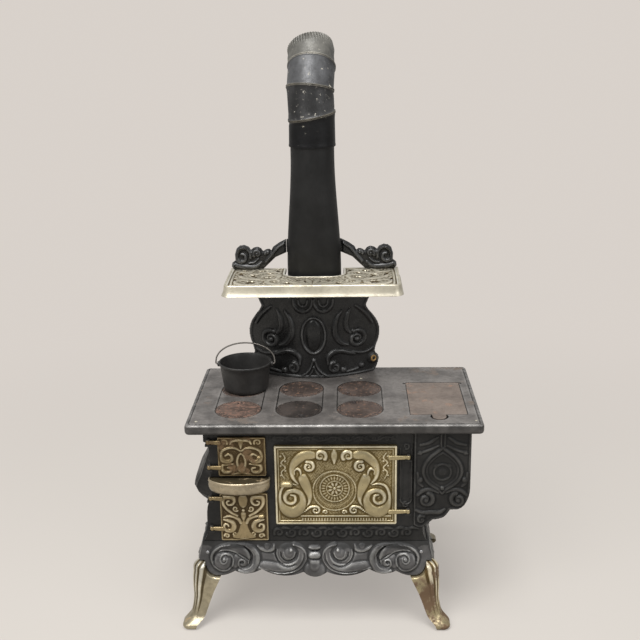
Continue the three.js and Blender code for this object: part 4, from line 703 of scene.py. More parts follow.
oven_outline, oven_middle_z, oven_hinge_x = (-92, 96, 170, 303), 236.5, 113
oven_parts = [door_plate(*oven_outline, moved(oven_ornament, 0, oven_middle_z), 0.95),
              thumb_lip(-74, 237.5, 10.5, 8.0, 7.0)]
for z in (192, 283):
    oven_parts += [finger(oven_hinge_x - 2.4, 82, z), knuckle(oven_hinge_x, z)]
make_piece("oven_door_casting", oven_parts, nickel, "oven_door", ["oven_door"])

# %% The two small doors
feed_ornament = both_sides([
    stroke([(0, 26.5, 3.2), (7, 27.5, 2.8), (13, 26, 2.4), (16, 21.5, 1.5)], 2.2),
    volute(26, 24, 5.6, 200, 1.2, 1.9, 1.2, hand=-1),
    stroke([(1, 10, 1.4), (9, 14.5, 1.9), (19, 14.5, 2.1), (28, 10, 2.2), (31, 2, 2.6), (28, -6, 3.4),
            (21, -8.5, 3.6), (15, -5, 3), (14.5, 1, 2.2), (19, 4.5, 1.8), (24, 2, 1.4)], 2.2, 90),
    stroke([(13, -12, 1.4), (20, -12.5, 2), (28, -14, 2.4), (30, -20, 2.7), (26, -25.5, 2.8),
            (18, -25, 2.4), (16, -20, 1.8), (21, -18, 1.4)], 2.0, 70),
    stroke([(0, 5.5, 1.4), (4.3, 1, 1.8), (6.4, -8, 2), (4.8, -18, 2.3), (2, -24, 3)], 2.0),
    stroke([(0, -25, 4), (6, -28, 2.2), (15, -29.5, 1.1)], 1.8),
]) + [stroke([(0, 28, 4.5), (0, 22, 3.4), (0, 14, 1)], 2.4)]
ash_ornament = both_sides([
    stroke([(10, 2, 2), (18, 7, 2.2), (26, 14, 2.2), (31, 23, 2.6), (30.5, 32, 3.4), (24, 35, 4),
            (16, 33, 3.4), (13.5, 27, 2.4), (17, 21.5, 2), (23, 21, 1.8), (25.5, 25, 1.6), (22, 27.5, 1.3)],
            2.3, 90),
    volute(12, 14, 4.2, 230, 1.3, 1.7, 1.5),
    stroke([(4, -30, 6), (10, -33, 4.4), (16, -34, 2)], 2.0),
    volute(14.5, -29, 3.2, 260, 1.2, 1.5, 1.6),
    stroke([(4, -10, 3), (8, -4, 2.7), (15, 0, 2.3), (24, 1.5, 1.9), (31, -1, 1.2)], 2.0),
    stroke([(31, -4.5, 1.5), (24, -6.5, 2.6), (17.5, -10, 3.3), (15.5, -17, 3.7), (19, -23, 3.7),
            (26, -24, 3), (30.5, -20, 2.4), (30.5, -14, 2), (26, -12.5, 1.6), (24, -16, 1.3)], 2.4, 80),
    volute(27, -32.5, 4, 0, 1.4, 1.7, 1.6),
]) + [
    stroke([(0, 34, 5), (0, 29, 6.2), (0, 22, 4.9), (0, 18, 2.4)], 2.4), bead(0, 11, 2.3, 1.6),
    stroke([(0, 5, 3.7), (0, 0, 3.4), (0, -7, 1.4)], 2.0),
    stroke([(0, -10, 4.6), (0, -20, 6.2), (0, -29, 8.5), (0, -33, 8.5)], 2.2),
]
for name, look, outline, eyes, ornament, middle, lip in (
        ("firebox_door", brown_nickel, (-178, -104, 252.4, 317), (267, 309),
         feed_ornament, (-142, 284.7), (-114.5, 283.5, 4)),
        ("ash_door", ash_nickel, (-178.2, -103.4, 142, 223), (163, 215),
         ash_ornament, (-142, 183), (-114, 184, 5.4))):
    hinge_x = outline[0] - 13.8
    ornament = bolder(moved(ornament, *middle), wide=1.28)
    parts = [door_plate(*outline, ornament, 0.85, 1.1, 0.8, 0.4), thumb_lip(*lip)]
    for z in eyes:
        parts += [finger(hinge_x + 2.4, outline[0] + 6, z), knuckle(hinge_x, z)]
    make_piece(name + "_casting", parts, look, name, [name])

# %% [markdown]
# ## The base
# The skirt flares as it comes down and ends in lobes that follow the scrolls cast on it. It is a
# closed ring of sections: each section goes down the outside, under the edge and up the inside.
# The relief is laid on along the outward direction, so that it bends with the flare.
# %% Skirt
body_x, base_top, low_edge, corner_edge = -31.5, 139.0, 83.0, 108.0
half_x, half_y, middle_y = 177.0, 113.5, 129.5
front_lobes = [(0, 0.1, 0.27), (0.1, 0.455, 0.27, -0.05, 0.47), (0.455, 0.68, 0.47, 0.23, 0.37),
               (0.68, 0.95, 0.37, 0.05, 1)]
side_lobes = [(0, 0.16, 0.3), (0.16, 0.58, 0.3, 0.03, 0.45), (0.58, 0.92, 0.45, 0.05, 1)]


def skirt_edge(share, lobes):
    """Lowest point of the skirt: each lobe is a chord between two cusps with a parabola's belly.
    A lobe is (first share, last share, height at the first, at the belly, at the last)."""
    s = np.abs(share)
    edge = np.full(s.shape, corner_edge)
    span = corner_edge - low_edge
    for first, last, start, *rest in lobes[::-1]:
        if not rest:
            value = start * (s / last) ** 2
        else:
            t = np.clip((s - first) / (last - first), 0, 1)
            chord = start + (rest[1] - start) * (t if rest[1] < 1 else t ** 6)
            value = chord - (start - rest[0]) * (1 - (2 * t - 1) ** 2)
        edge = np.where(s <= last, low_edge + span * value, edge)
    return edge


def flare(z):
    """How far the skirt stands out at a height."""
    return 14.0 * np.clip((base_top - z) / (base_top - low_edge), 0, None) ** 1.3


def corner_volute(x, z):
    """The volute at a corner, laid out from its eye: an outer roll, a field, a dome and a curl."""
    domes = [
        stroke([(-22, 25, 1.5), (-36, 23.5, 3), (-46, 18.5, 4.4), (-53.5, 7, 5.2), (-52.5, -5, 5.6),
                (-46, -13.5, 5.2), (-36, -17.5, 4), (-25, -16.5, 2.5)], 4.0, 80),
        stroke([(-42, 4, 4), (-34, 12, 7), (-20, 19, 8), (-4, 20, 6.5), (10, 15, 5), (17, 6, 3.4),
                (16, -4, 2)], 3.0, 80),
        stroke([(-31, -3, 8), (-25, 2, 8), (-19, -6, 7)], 2.2),
        stroke([(0.6, -1.5, 14.6), (1, -2, 14.6)], 4.8, 4),
        bead(-1.4, 1.4, 6.2, 5.6), bead(-3, 2.4, 1.9, 6.6)]
    ridges = [
        stroke([(-37, 22.3, 0.9), (-43, 16.2, 1.3), (-47.7, 8.5, 1.5), (-47.7, -0.8, 1.5),
                (-43.8, -9.2, 1.5), (-35.2, -13.5, 1.5), (-28, -12.8, 1.5), (-24.4, -7, 1.5),
                (-26, -0.6, 1.5), (-31.6, 0.6, 1.4), (-34, -3.4, 1.2), (-31.6, -6.4, 1)], 1.5, 140),
        stroke([(6, 14, 0.8), (-4.1, 15.8, 1.2), (-15, 14.2, 1.3), (-22.8, 10, 1.3), (-31.3, 4.6, 1.3),
                (-39.5, -1.5, 1.2), (-40, -6, 0.9)], 1.1, 90),
        stroke([(-12, 24.3, 0.8), (3.7, 21.6, 1.4), (13.8, 14.6, 1.7), (18.5, 6.9, 1.8), (18.9, -0.8, 1.8),
                (14.6, -9.2, 1.8), (7.6, -14.6, 1.8), (0.6, -16.6, 1.8), (-7.2, -15.4, 1.7),
                (-12.7, -10.8, 1.7), (-15.8, -3.8, 1.6), (-15, 3.1, 1.6), (-11.1, 7.7, 1.5),
                (-4.9, 10, 1.4), (1.3, 8.5, 1.4), (4.4, 3.1, 1.3), (2.9, -1.5, 1.2), (-1.8, -3.5, 1.1),
                (-5.7, -1.5, 1), (-6.5, 3.1, 0.9)], 1.6, 260)]
    grooves = [
        stroke([(-33, 21, 1), (-40, 15, 1.7), (-43.8, 8, 2), (-44, 0, 1.8), (-41, -7, 1)], 2.4, 60),
        stroke([(2, 17.6, 0.8), (10.4, 12, 1.4), (14.6, 5, 1.5), (15, -2, 1.2)], 1.8, 50),
        stroke([(-2, 12.6, 0.8), (-15, 11.4, 1.2), (-24, 6.6, 1.3), (-33, 1.4, 1.1)], 1.4, 50),
        bead(-29.5, -3.6, 3.6, 3.2),
        stroke([(-9.6, 4, 0.8), (-5, 7.2, 1.2), (0, 6, 1.2), (1.8, 2.4, 1)], 1.4, 40)]
    return [moved(layer, x, z) for layer in (domes, ridges, grooves)]


def wave_leaf(x, z):
    """The large volute beside the middle: a fluted leaf that rolls up into a disc with an eye."""
    domes = [
        stroke([(49, -23, 3.4), (42, -19, 6), (30, -21, 7.6), (15, -24, 8.2), (0, -23, 8), (-11, -17, 7.6),
                (-18, -8, 7), (-19.6, 0.5, 6.6), (-16, 8, 6), (-8, 13, 5)], 3.6, 120),
        stroke([(2.2, -0.4, 16.6), (2.4, -0.6, 16.6)], 3.8, 4), bead(0, 0.6, 11.6, 5.6),
        bead(-2.8, 6, 4, 7.0),
        stroke([(24, 12, 2.6), (27, 6, 4), (35, 4.4, 4), (44, 6.5, 3), (50, 11, 1.6)], 3.0, 50),
        bead(34.6, 9, 6.4, 2.6)]
    ridges = [
        stroke([(-4, 14.5, 0.9), (-13, 12.4, 1.2), (-21.4, 7.4, 1.4), (-26.5, -1.6, 1.6), (-25, -12, 1.6),
                (-17.8, -22.4, 1.6), (-6.7, -28.8, 1.6), (8.9, -31.2, 1.6), (24.5, -30, 1.6),
                (40, -25, 1.5), (48, -21.2, 1.2)], 1.4, 130),
        stroke([(18.6, 5, 0.9), (19.4, -2, 1.3), (15.8, -11, 1.5), (8.4, -16.4, 1.5), (0, -17.2, 1.5),
                (-8.6, -13.8, 1.3), (-14, -7, 1.1), (-15.6, 1, 0.9)], 1.2, 80),
        stroke([(-9, 2, 0.9), (-6.6, -4.4, 1.3), (0, -7.4, 1.5), (6.8, -4, 1.4), (9, 3, 1)], 1.0, 50)]
    grooves = [
        stroke([(21.6, 4, 0.9), (22, -3.4, 1.3), (17.8, -13, 1.5), (9.4, -19, 1.6), (-1, -20, 1.5),
                (-10, -16.6, 1.1)], 2.0, 70),
        stroke([(13.4, 2, 1), (12.4, -5, 1.6), (6.4, -10.8, 1.8), (-1, -11.8, 1.8), (-8, -8, 1.5),
                (-11.4, -1, 1.1)], 2.0, 60),
        stroke([(44, -24.5, 0.8), (30, -27.6, 1.1), (12, -29, 1.2), (-4, -27, 1.2), (-15, -20.6, 1.2),
                (-22, -10, 1.1), (-23.4, 0, 0.9)], 1.1, 90),
        stroke([(21, 1.4, 1), (30, -0.6, 1.4), (42, 1, 1)], 1.4, 30)]
    return [moved(layer, x, z) for layer in (domes, ridges, grooves)]


layers = zip(wave_leaf(39.5, 120.8), corner_volute(144, 110))
front_work = [both_sides(leaf + corner) for leaf, corner in layers]
front_work[0] += [
    stroke([(-8, 129.6, 2.2), (-4, 129.4, 3.8), (4, 129.4, 3.8), (8, 129.6, 2.2)], 3.4, 24),
    stroke([(-7.4, 117.2, 3.2), (-4, 117.2, 5.6), (4, 117.2, 5.6), (7.4, 117.2, 3.2)], 5.0, 24),
    stroke([(0, 104, 9.6), (0, 100.5, 10.6)], 5.0, 8),
    stroke([(-6, 95, 11), (0, 94.5, 12), (6, 95, 11)], 3.4, 20)]
front_work[2] += [
    stroke([(-10, 111.2, 0.9), (10, 111.2, 0.9)], 1.8, 20),
    stroke([(-9, 123.8, 0.9), (9, 123.8, 0.9)], 1.6, 20)]
front_work = [moved(layer, -1.1, 0) for layer in front_work]
layers = zip(wave_leaf(30, 119), corner_volute(88, 110))
side_work = [both_sides([line for line in leaf if line[0][:, 0].max() < 72] + corner)
             for leaf, corner in layers]


def skirt_side(half, depth, lobes, work, count):
    """Outer and inner skin of one side, before it is turned into place."""
    share = np.linspace(-1, 1, count, endpoint=False)[:, None]
    edge = skirt_edge(share, lobes)
    t = np.linspace(0, 1, 62)[None, :]
    z = base_top + (edge - base_top) * t
    out = flare(z)
    along = share * (half + out)
    relief = carved(along, z, *work) * np.clip((1 - np.abs(share)) * half / 4, 0, 1)
    relief = relief * np.clip(t / 0.03, 0, 1)
    proud = relief - 0.8 - 2.4 * np.clip((t - 0.95) / 0.05, 0, 1) ** 2
    outer = np.stack([along, -(depth + out + proud), z - 0.2 * proud], -1)
    inner_t = np.linspace(1, 0, 10)[None, :]
    inner_z = base_top + (edge - base_top) * inner_t
    inner_out = flare(inner_z) - 4.0
    inner = np.stack([share * (half + inner_out), -(depth + inner_out), inner_z], -1)
    # Darker towards the top edge, where the skirt meets the body.
    darker_at_top = 1.6 * np.clip(1 - t / 0.24, 0, 1)
    hollow = np.concatenate([blurred(relief, 4) - relief + darker_at_top, np.zeros(inner.shape[:2])], 1)
    return np.concatenate([outer, inner], 1), hollow


sides, hollows = [], []
for turn in range(4):
    if turn % 2 == 0:
        points, deep = skirt_side(half_x, half_y, front_lobes, front_work, 430)
    else:
        points, deep = skirt_side(half_y, half_x, side_lobes, side_work, 240)
    c, s = round(math.cos(turn * math.pi / 2)), round(math.sin(turn * math.pi / 2))
    x, y = points[..., 0].copy(), points[..., 1].copy()
    points[..., 0] = body_x + x * c - y * s
    points[..., 1] = middle_y + x * s + y * c
    sides.append(points)
    hollows.append(deep)
make_piece("base_skirt_casting", [loop_skin(np.concatenate(sides), np.concatenate(hollows))], black_iron,
           "root", ["base_skirt"], sharp=60)

# %% [markdown]
# ## The legs
# A cabriole leg swells at the knee, narrows at the ankle and turns out to a toe. It is a loft:
# at each height the section is a quarter of a rounded square, hollow behind, and a ridge with two
# grooves runs down its corner.
# %% Cabriole legs
leg_top, leg_reach = 131.7, 209.0
reach_shares = [(0, 1.005), (0.06, 1.01), (0.13, 0.96), (0.22, 0.942), (0.36, 0.929), (0.52, 0.932),
                (0.68, 0.929), (0.79, 0.916), (0.84, 0.885), (0.89, 0.85), (1, 0.81)]
width_shares = [(0, 0.55), (0.05, 0.64), (0.12, 0.64), (0.2, 0.68), (0.34, 0.78), (0.43, 0.9), (0.52, 1.06),
                (0.66, 1.28), (0.84, 1.4), (1, 1.3)]


def leg_section(height, corner):
    """Half size and width of the leg at a height, and a point of its outer faces: corner runs
    from -1 at the front face's inner edge over 0 at the corner to 1 on the side face."""
    half = leg_reach * eased(reach_shares, height / leg_top)
    width = 36.0 * eased(width_shares, height / leg_top)
    r = 0.46 * width
    run = (width - r) * (1 - np.clip((np.abs(corner) - 0.45) / 0.55, 0, 1))
    a = np.pi / 2 * np.clip((0.45 - corner) / 0.9, 0, 1)
    px = np.where(corner < -0.45, half - width + run, half - r + r * np.cos(a))
    py = np.where(corner > 0.45, half - width + run, half - r + r * np.sin(a))
    return half, width, px, py


def leg_skin(side_x, side_y):
    """Each column climbs to the skirt's edge above it, then steps in behind the skirt."""
    flat, bend = np.linspace(0.45, 1, 22)[1:], np.linspace(-0.45, 0.45, 37)
    corner = np.concatenate([np.linspace(-1, -0.45, 22)[:-1], bend, flat])[None, :]
    limit = np.full(corner.shape, corner_edge)
    for _ in range(14):
        _, _, px, py = leg_section(limit, corner)
        front = skirt_edge(px / (half_x + flare(limit)), front_lobes)
        beside = skirt_edge((py - half_x + half_y) / (half_y + flare(limit)), side_lobes)
        limit = 0.5 * limit + 0.5 * (np.where(corner < 0, front, beside) - 0.8)
    s = np.concatenate([[0, 0.006, 0.02], np.linspace(0.04, 0.94, 66), [0.965, 0.985, 1]])[:, None]
    z = limit * s
    half, width, px, py = leg_section(z, corner)
    side = np.abs(corner)
    band = 0.9 * np.exp(-((side - 0.25) / 0.085) ** 2) + 0.7 * np.exp(-(side / 0.06) ** 2)
    grooves = 1.5 * np.exp(-((side - 0.11) / 0.04) ** 2) + 1.7 * np.exp(-((side - 0.41) / 0.045) ** 2)
    strength = 0.35 + 0.65 * np.clip((width - 22) / 14, 0, 1)
    push = (band - grooves) * np.clip((z - 20) / 22, 0, 1) * strength
    sole = 3.4 * (1 - np.sqrt(np.clip(1 - (1 - np.clip(z / 6.0, 0, 1)) ** 2, 0, 1)))
    knee = 3.0 * (1 - np.sqrt(np.clip(1 - np.clip((s - 0.93) / 0.07, 0, 1) ** 2, 0, 1)))
    turn = np.pi / 2 * np.clip((corner + 0.45) / 0.9, 0, 1)
    px, py = px + (push - sole - knee) * np.sin(turn), py + (push - sole - knee) * np.cos(turn)
    inside = [half_x + flare(height) - 5.5 for height in (limit, leg_top)]
    px = np.vstack([px] + [np.minimum(px[-1:], most) for most in inside])
    py = np.vstack([py] + [np.minimum(py[-1:], most) for most in inside])
    z = np.vstack([z, limit, 0 * limit + leg_top])
    tall = np.append(100 * s, [112, leg_top])[:, None]
    half, width, _, _ = leg_section(tall, 0 * tall)
    thin = np.clip((tall / leg_top - 0.2) * 1.6, 0, 1)
    angle = np.linspace(0, np.pi / 2, 16)[None, :]
    inner_x = half - width + (0.45 + 0.17 * thin) * width * np.cos(angle)
    inner_y = half - width + (0.45 + 0.17 * thin) * width * np.sin(angle)
    # The ridge is lightened and the grooves darkened, as wear, painted highlight and painted shade; the
    # leg's inside is darkened as painted shade.
    deep = np.concatenate([np.vstack([-push, 0 * push[-2:]]), np.full(inner_x.shape, 0.3)], 1)
    across, behind = np.concatenate([px, inner_x], 1), np.concatenate([py, inner_y], 1)
    up = np.concatenate([z, np.broadcast_to(tall, inner_x.shape)], 1)
    points = np.stack([body_x + side_x * across, middle_y + side_y * (behind - (half_x - half_y)), up], -1)
    return bar_skin(points, deep)


for name, side_x, side_y, look in (
        ("leg_front_left", -1, -1, leg_nickel), ("leg_front_right", 1, -1, worn_nickel),
        ("leg_rear_left", -1, 1, leg_nickel), ("leg_rear_right", 1, 1, leg_nickel)):
    make_piece(name + "_casting", [leg_skin(side_x, side_y)], look, "root", [name], sharp=70)

# %% [markdown]
# ## The cooktop
# A flat plate with a rounded nose all round. The plate is a sheet with long openings, and the
# nose is a section carried round the outline. A fine groove is left where they meet.
# %% Plate, nose and ledges
columns, row_front, row_back = (-149.3, -54.6, 40.2), 65.1, 152.6
flue_x, flue_y = -33.0, 237.0


def long_hole(x, y, middle, radius):
    """Distance inside an opening with round ends."""
    nearest = np.clip(y, row_front, row_back)
    return radius - np.hypot(x - middle, y - nearest)


def level(z):
    """Places a pattern flat: its height goes up."""
    return lambda u, v, h: np.stack([u, v, z + h + 0 * u], -1)


def nose_ring(section, radius=8.0, count=26):
    """The nose's section carried round a rounded rectangle, along each corner's own direction."""
    ring = []
    for cx, cy, start in ((217, 251, 0), (-217, 251, 90), (-217, 8, 180), (217, 8, 270)):
        a = np.radians(np.linspace(start, start + 90, count))[:, None]
        out = radius + section[None, :, 0]
        ring.append(np.stack([cx + out * np.cos(a), cy + out * np.sin(a), section[:, 1] + 0 * out * a], -1))
    # The top of the nose gets a painted highlight and its lower face painted shade.
    nose_highlight_and_shade = np.where(section[:, 1] > 338.5, -0.42, 0.0) + np.where(section[:, 1] < 329, 0.8, 0.0)
    return loop_skin(np.concatenate(ring), np.broadcast_to(nose_highlight_and_shade, (4 * count, len(section))))


nose = np.array([(-6, 342), (-5.7, 341.3), (-5.3, 341.3), (-5, 342), (-4, 341.95), (-3, 341.7), (-2, 341.2),
                 (-1.1, 340.4), (-0.5, 339.3), (-0.15, 338), (0, 336.5), (0, 331.5), (-0.15, 329.8),
                 (-0.6, 328.2), (-1.5, 327), (-3, 326.2), (-5, 326), (-9, 326), (-10, 327), (-10, 336),
                 (-6, 336)])
plate_outline = (-219, 219, 6, 253)
u, v = pattern(*plate_outline, 1.75)
water_hole = np.maximum(rounded_rectangle(u, v, 116.9, 203.9, 40.7, 179.5, 2),
                        12.9 - np.hypot(u - 160.4, v - 33))
keep = rounded_rectangle(u, v, *plate_outline, 3)
for middle in columns:
    keep = np.minimum(keep, -long_hole(u, v, middle, 35.6))
keep = np.minimum(keep, -water_hole)
ear_slot = rounded_rectangle(u, v, 112.9, 207.9, 173.5, 177.5, 0.5)
keep = np.minimum(keep, -ear_slot)
flue = 1 - np.hypot((u - flue_x) / 39.6, (v - flue_y) / 16.5)
keep = np.minimum(keep, -flue * 24)
# Dark lines round every opening and along the plate's edge: painted shade in the gaps round the lids, the
# reservoir and the flue, and in the groove at the nose.
painted_gap_shade = -2.4 * np.exp(-(keep / 1.3) ** 2)
top_parts = [cast_sheet(u, v, keep, level(plate_top), 0 * u, 0 * u - 6, painted_gap_shade)]
for middle in columns:
    u, v = pattern(middle - 36, middle + 36, row_front - 36, row_back + 36, 1.1)
    ledge = np.minimum(long_hole(u, v, middle, 36.4), -long_hole(u, v, middle, 32.1))
    top_parts.append(cast_sheet(u, v, ledge, level(plate_top), 0 * u - 3.3, 0 * u - 5.95))
u, v = pattern(116, 205, 40, 181, 1.4)
ledge = np.minimum(rounded_rectangle(u, v, 116, 205, 40, 185, 1),
                   -rounded_rectangle(u, v, 121.2, 199.6, 45, 190, 1))
ledge = np.minimum(ledge, 172 - v)
top_parts.append(cast_sheet(u, v, ledge, level(plate_top), 0 * u - 3.8, 0 * u - 5.9))
make_piece("cooktop_casting", top_parts, grey_iron, "root", ["cooktop"])
make_piece("cooktop_nose", [nose_ring(nose)], nose_iron)
top_screws = [screw_head(x, y, nose[0, 1], radius, (0, 0, 1), rise) for x, y, radius, rise in (
    (-208.5, 17, 2.2, 0.5), (43.5, 200.6, 2.4, 0.9), (214, 17, 1.8, 0.4))]
make_piece("cooktop_screws", top_screws, shelf_nickel)

# %% [markdown]
# ## Lids
# A lid is a disc on a polar grid: rings by spokes. Its top is flat with one shallow turned ring,
# a rounded rim and the round socket for the lifter near its edge. A turned profile would do for
# the ring alone, but the socket is off the middle, so the height is worked out at every point.
# %% Lids
def lid_skin(x, y, socket_turn):
    """A disc whose top sinks by a turned groove, a bell curve, and by the socket's soft steps."""
    r = np.concatenate([np.linspace(0, 34.3, 44), [34.8, 35.15, 35.3, 35.3, 35.1, 34.6]])
    a = np.linspace(0, 2 * np.pi, 120, endpoint=False)[None, :]
    px, py = r[:, None] * np.cos(a), r[:, None] * np.sin(a)
    sx, sy = 27.3 * math.cos(socket_turn), 27.3 * math.sin(socket_turn)
    near = np.hypot(px - sx, py - sy)
    socket = 1.5 / (1 + np.exp((near - 3.9) / 0.28)) - 1.1 / (1 + np.exp((near - 2.1) / 0.28))
    ring = 0.35 * np.exp(-((r[:, None] - 31.3) / 0.7) ** 2)
    top = plate_top - 0.04 - ring - socket
    top[44:] = (plate_top - np.array([0.1, 0.35, 0.8, 2.4, 2.75, 3.0]))[:, None]
    points = np.stack([x + px, y + py, top], -1)
    under = np.stack([x + 0 * px[:1], y + 0 * py[:1], np.full_like(px[:1], plate_top - 3.0)], -1)
    grid = np.concatenate([points, under])
    # The groove and the lifter socket are darker, as painted shade.
    deep = np.concatenate([(ring + socket) * 0.8, np.zeros((1, 120))]).ravel()
    return grid.reshape(-1, 3), [grid_faces(len(grid), 120, False, True)], deep


lid_looks = {"lid_left_front": red_lid_iron, "lid_middle_front": dark_lid_iron}
for side, x, front_turn, back_turn in zip(("left", "middle", "right"), columns, (0.25, 0.78, 0.3),
                                          (0.75, 0.55, 0.62)):
    for row, y, turn in (("front", row_front, front_turn), ("back", row_back, back_turn)):
        name = f"lid_{side}_{row}"
        skin = lid_skin(x, y, turn * 2 * math.pi)
        make_piece(name + "_disc", [skin], lid_looks.get(name, lid_iron), name, [name],
                   sharp=60)
frame["nodes"]["reservoir_lid"].data.materials[0] = water_lid_iron

# %% [markdown]
# ## Back plate
# The back plate bows towards the cook and is cast with an oval boss and paired scrolls. Its
# pattern is flat, and its place is worked out from the bow, with the relief along the normal.
# %% Back plate
back_x, bow_half, bow_depth, bow_front = -35.4, 111.0, 46.0, 203.0
plate_low, plate_high = 342.3, 514.2


def bowed(u, v, h):
    """Y = front + depth (across / half)^2, and the height goes along the normal of that curve."""
    s = (u - back_x) / bow_half
    slope = 2 * bow_depth * s / bow_half
    size = np.hypot(1, slope)
    return np.stack([u + h * slope / size, bow_front + bow_depth * s ** 2 - h / size, v + 0 * u], -1)


plate_shares = [(0, 0.92), (0.05, 0.96), (0.1, 0.985), (0.15, 0.98), (0.2, 0.93), (0.25, 0.94),
                (0.33, 0.985), (0.43, 1), (0.52, 0.96), (0.6, 0.885), (0.66, 0.82), (0.7, 0.795),
                (0.74, 0.82), (0.8, 0.86), (1, 0.92)]
back_scrolls = both_sides([
    stroke([(1, 137, 2.2), (3, 127, 3), (9, 119.5, 3.4), (17, 117, 3.6), (25, 119.5, 3.4), (31, 127, 3),
            (33, 137, 2)], 2.6),
    stroke([(9, 137, 1.6), (11, 129, 2.2), (17, 125.5, 2.4), (23, 129, 2.2), (25, 137, 1.6)], 2.4),
    stroke([(47, 116, 2), (40, 105, 3.4), (36, 92, 4.4), (35.5, 80, 5), (39, 69, 5), (47, 59.5, 4.4),
            (57, 55.5, 2.4)], 3.6, 80),
    stroke([(61, 118, 1.6), (56, 107, 3.4), (54, 95, 4.2), (55.5, 84, 4), (61, 76.5, 3)], 3.2, 60),
    stroke([(70, 122, 2), (80, 113, 3.2), (90, 102, 3.6), (98, 88, 2.6)], 2.6, 50),
    volute(72, 64, 15, 110, 1.6, 4.6, 3.6, hand=-1, eye=0.2), bead(72, 64, 5, 4.4),
    stroke([(23.5, 24, 2.2), (24, 35, 4), (32, 43.5, 4.8), (44, 46, 4.8), (57, 42, 4),
            (68, 38, 3.2)], 3.6, 70),
    stroke([(64, 43, 2), (76, 38.5, 3), (88, 38, 2.8), (99, 42, 1.8)], 2.4),
    volute(35, 17.5, 8.6, 100, 1.5, 4.2, 3.4), bead(50, 11.5, 5.2, 3.2),
    stroke([(55, 8, 2), (66, 9.6, 2.8), (74, 11, 2)], 2.2), bead(80, 15, 5.2, 3.4),
    bead(100, 24, 10.4, 4.6),
    stroke([(2, 30, 1.8), (6, 18, 2.2), (13, 9, 2.2), (23, 2.5, 1.4)], 2.4),
    stroke([(0.5, 20, 1.2), (3, 12, 1.6), (9, 3.5, 1.2)], 1.8),
]) + [circle(0, 75, 19.3, 2.7, 2.8, stretch=1.6), bead(0, 31, 4, 3)]
u, v = pattern(-150, 80, plate_low, plate_high, 1.05)
share = (v - plate_low) / (plate_high - plate_low)
half = bow_half * eased(plate_shares, np.clip(share, 0, 1))
inside = np.minimum.reduce([(half - np.abs(u - back_x)) * 0.9, v - plate_low, plate_high - v])
relief = raised(u - back_x, v - plate_low, back_scrolls)
boss = np.clip(1 - ((u - back_x) / 12.5) ** 2 - ((v - plate_low - 75) / 27) ** 2, 0, None)
relief = np.maximum(relief, 3.4 * np.sqrt(boss))
rim = 1.6 * half_round((inside - 2.4) / 2.2) * (v < 500)
relief = np.maximum(relief * np.clip(inside / 3, 0, 1), rim)
front = relief - edge_drop(inside, 1.0)
make_piece("back_plate_casting", [cast_sheet(u, v, inside, bowed, front, 0 * u - 3.6, relief)],
           plate_black, "root", ["back_plate"])
eye_x, eye_z = np.array(back_x + 98.0), np.array(366.3)
eye_place = bowed(eye_x, eye_z, 3.2)
eye_axis = bowed(eye_x, eye_z, 4.2) - eye_place
worn_eye = [(0, 0), (5.2, 0), (5.8, 0.8), (5.8, 1.8), (5.2, 2.5), (4.3, 2.6), (3.6, 2.0), (3.2, 1.1),
            (0, 0.9)]
make_piece("back_plate_worn_eye", [turned_skin(worn_eye, eye_place, eye_axis, 40)], worn_brass)

# %% [markdown]
# ## Warming shelf
# The shelf's top is pierced and cast with leaves that fan out from the middle of its front edge.
# Holes are cut from the pattern, and a section with a bead above and a flared foot runs round it.
# %% Shelf panel
shelf_x, shelf_front, shelf_back, shelf_half, shelf_top = -34.0, 141.5, 260.5, 141.0, 520.0


def oval_hole(x, y, cx, cy, long, wide, turn):
    """Distance inside a turned oval, near enough for its edge."""
    c, s = math.cos(math.radians(turn)), math.sin(math.radians(turn))
    a, b = (x - cx) * c + (y - cy) * s, -(x - cx) * s + (y - cy) * c
    return (1 - np.hypot(a / long, b / wide)) * min(long, wide)


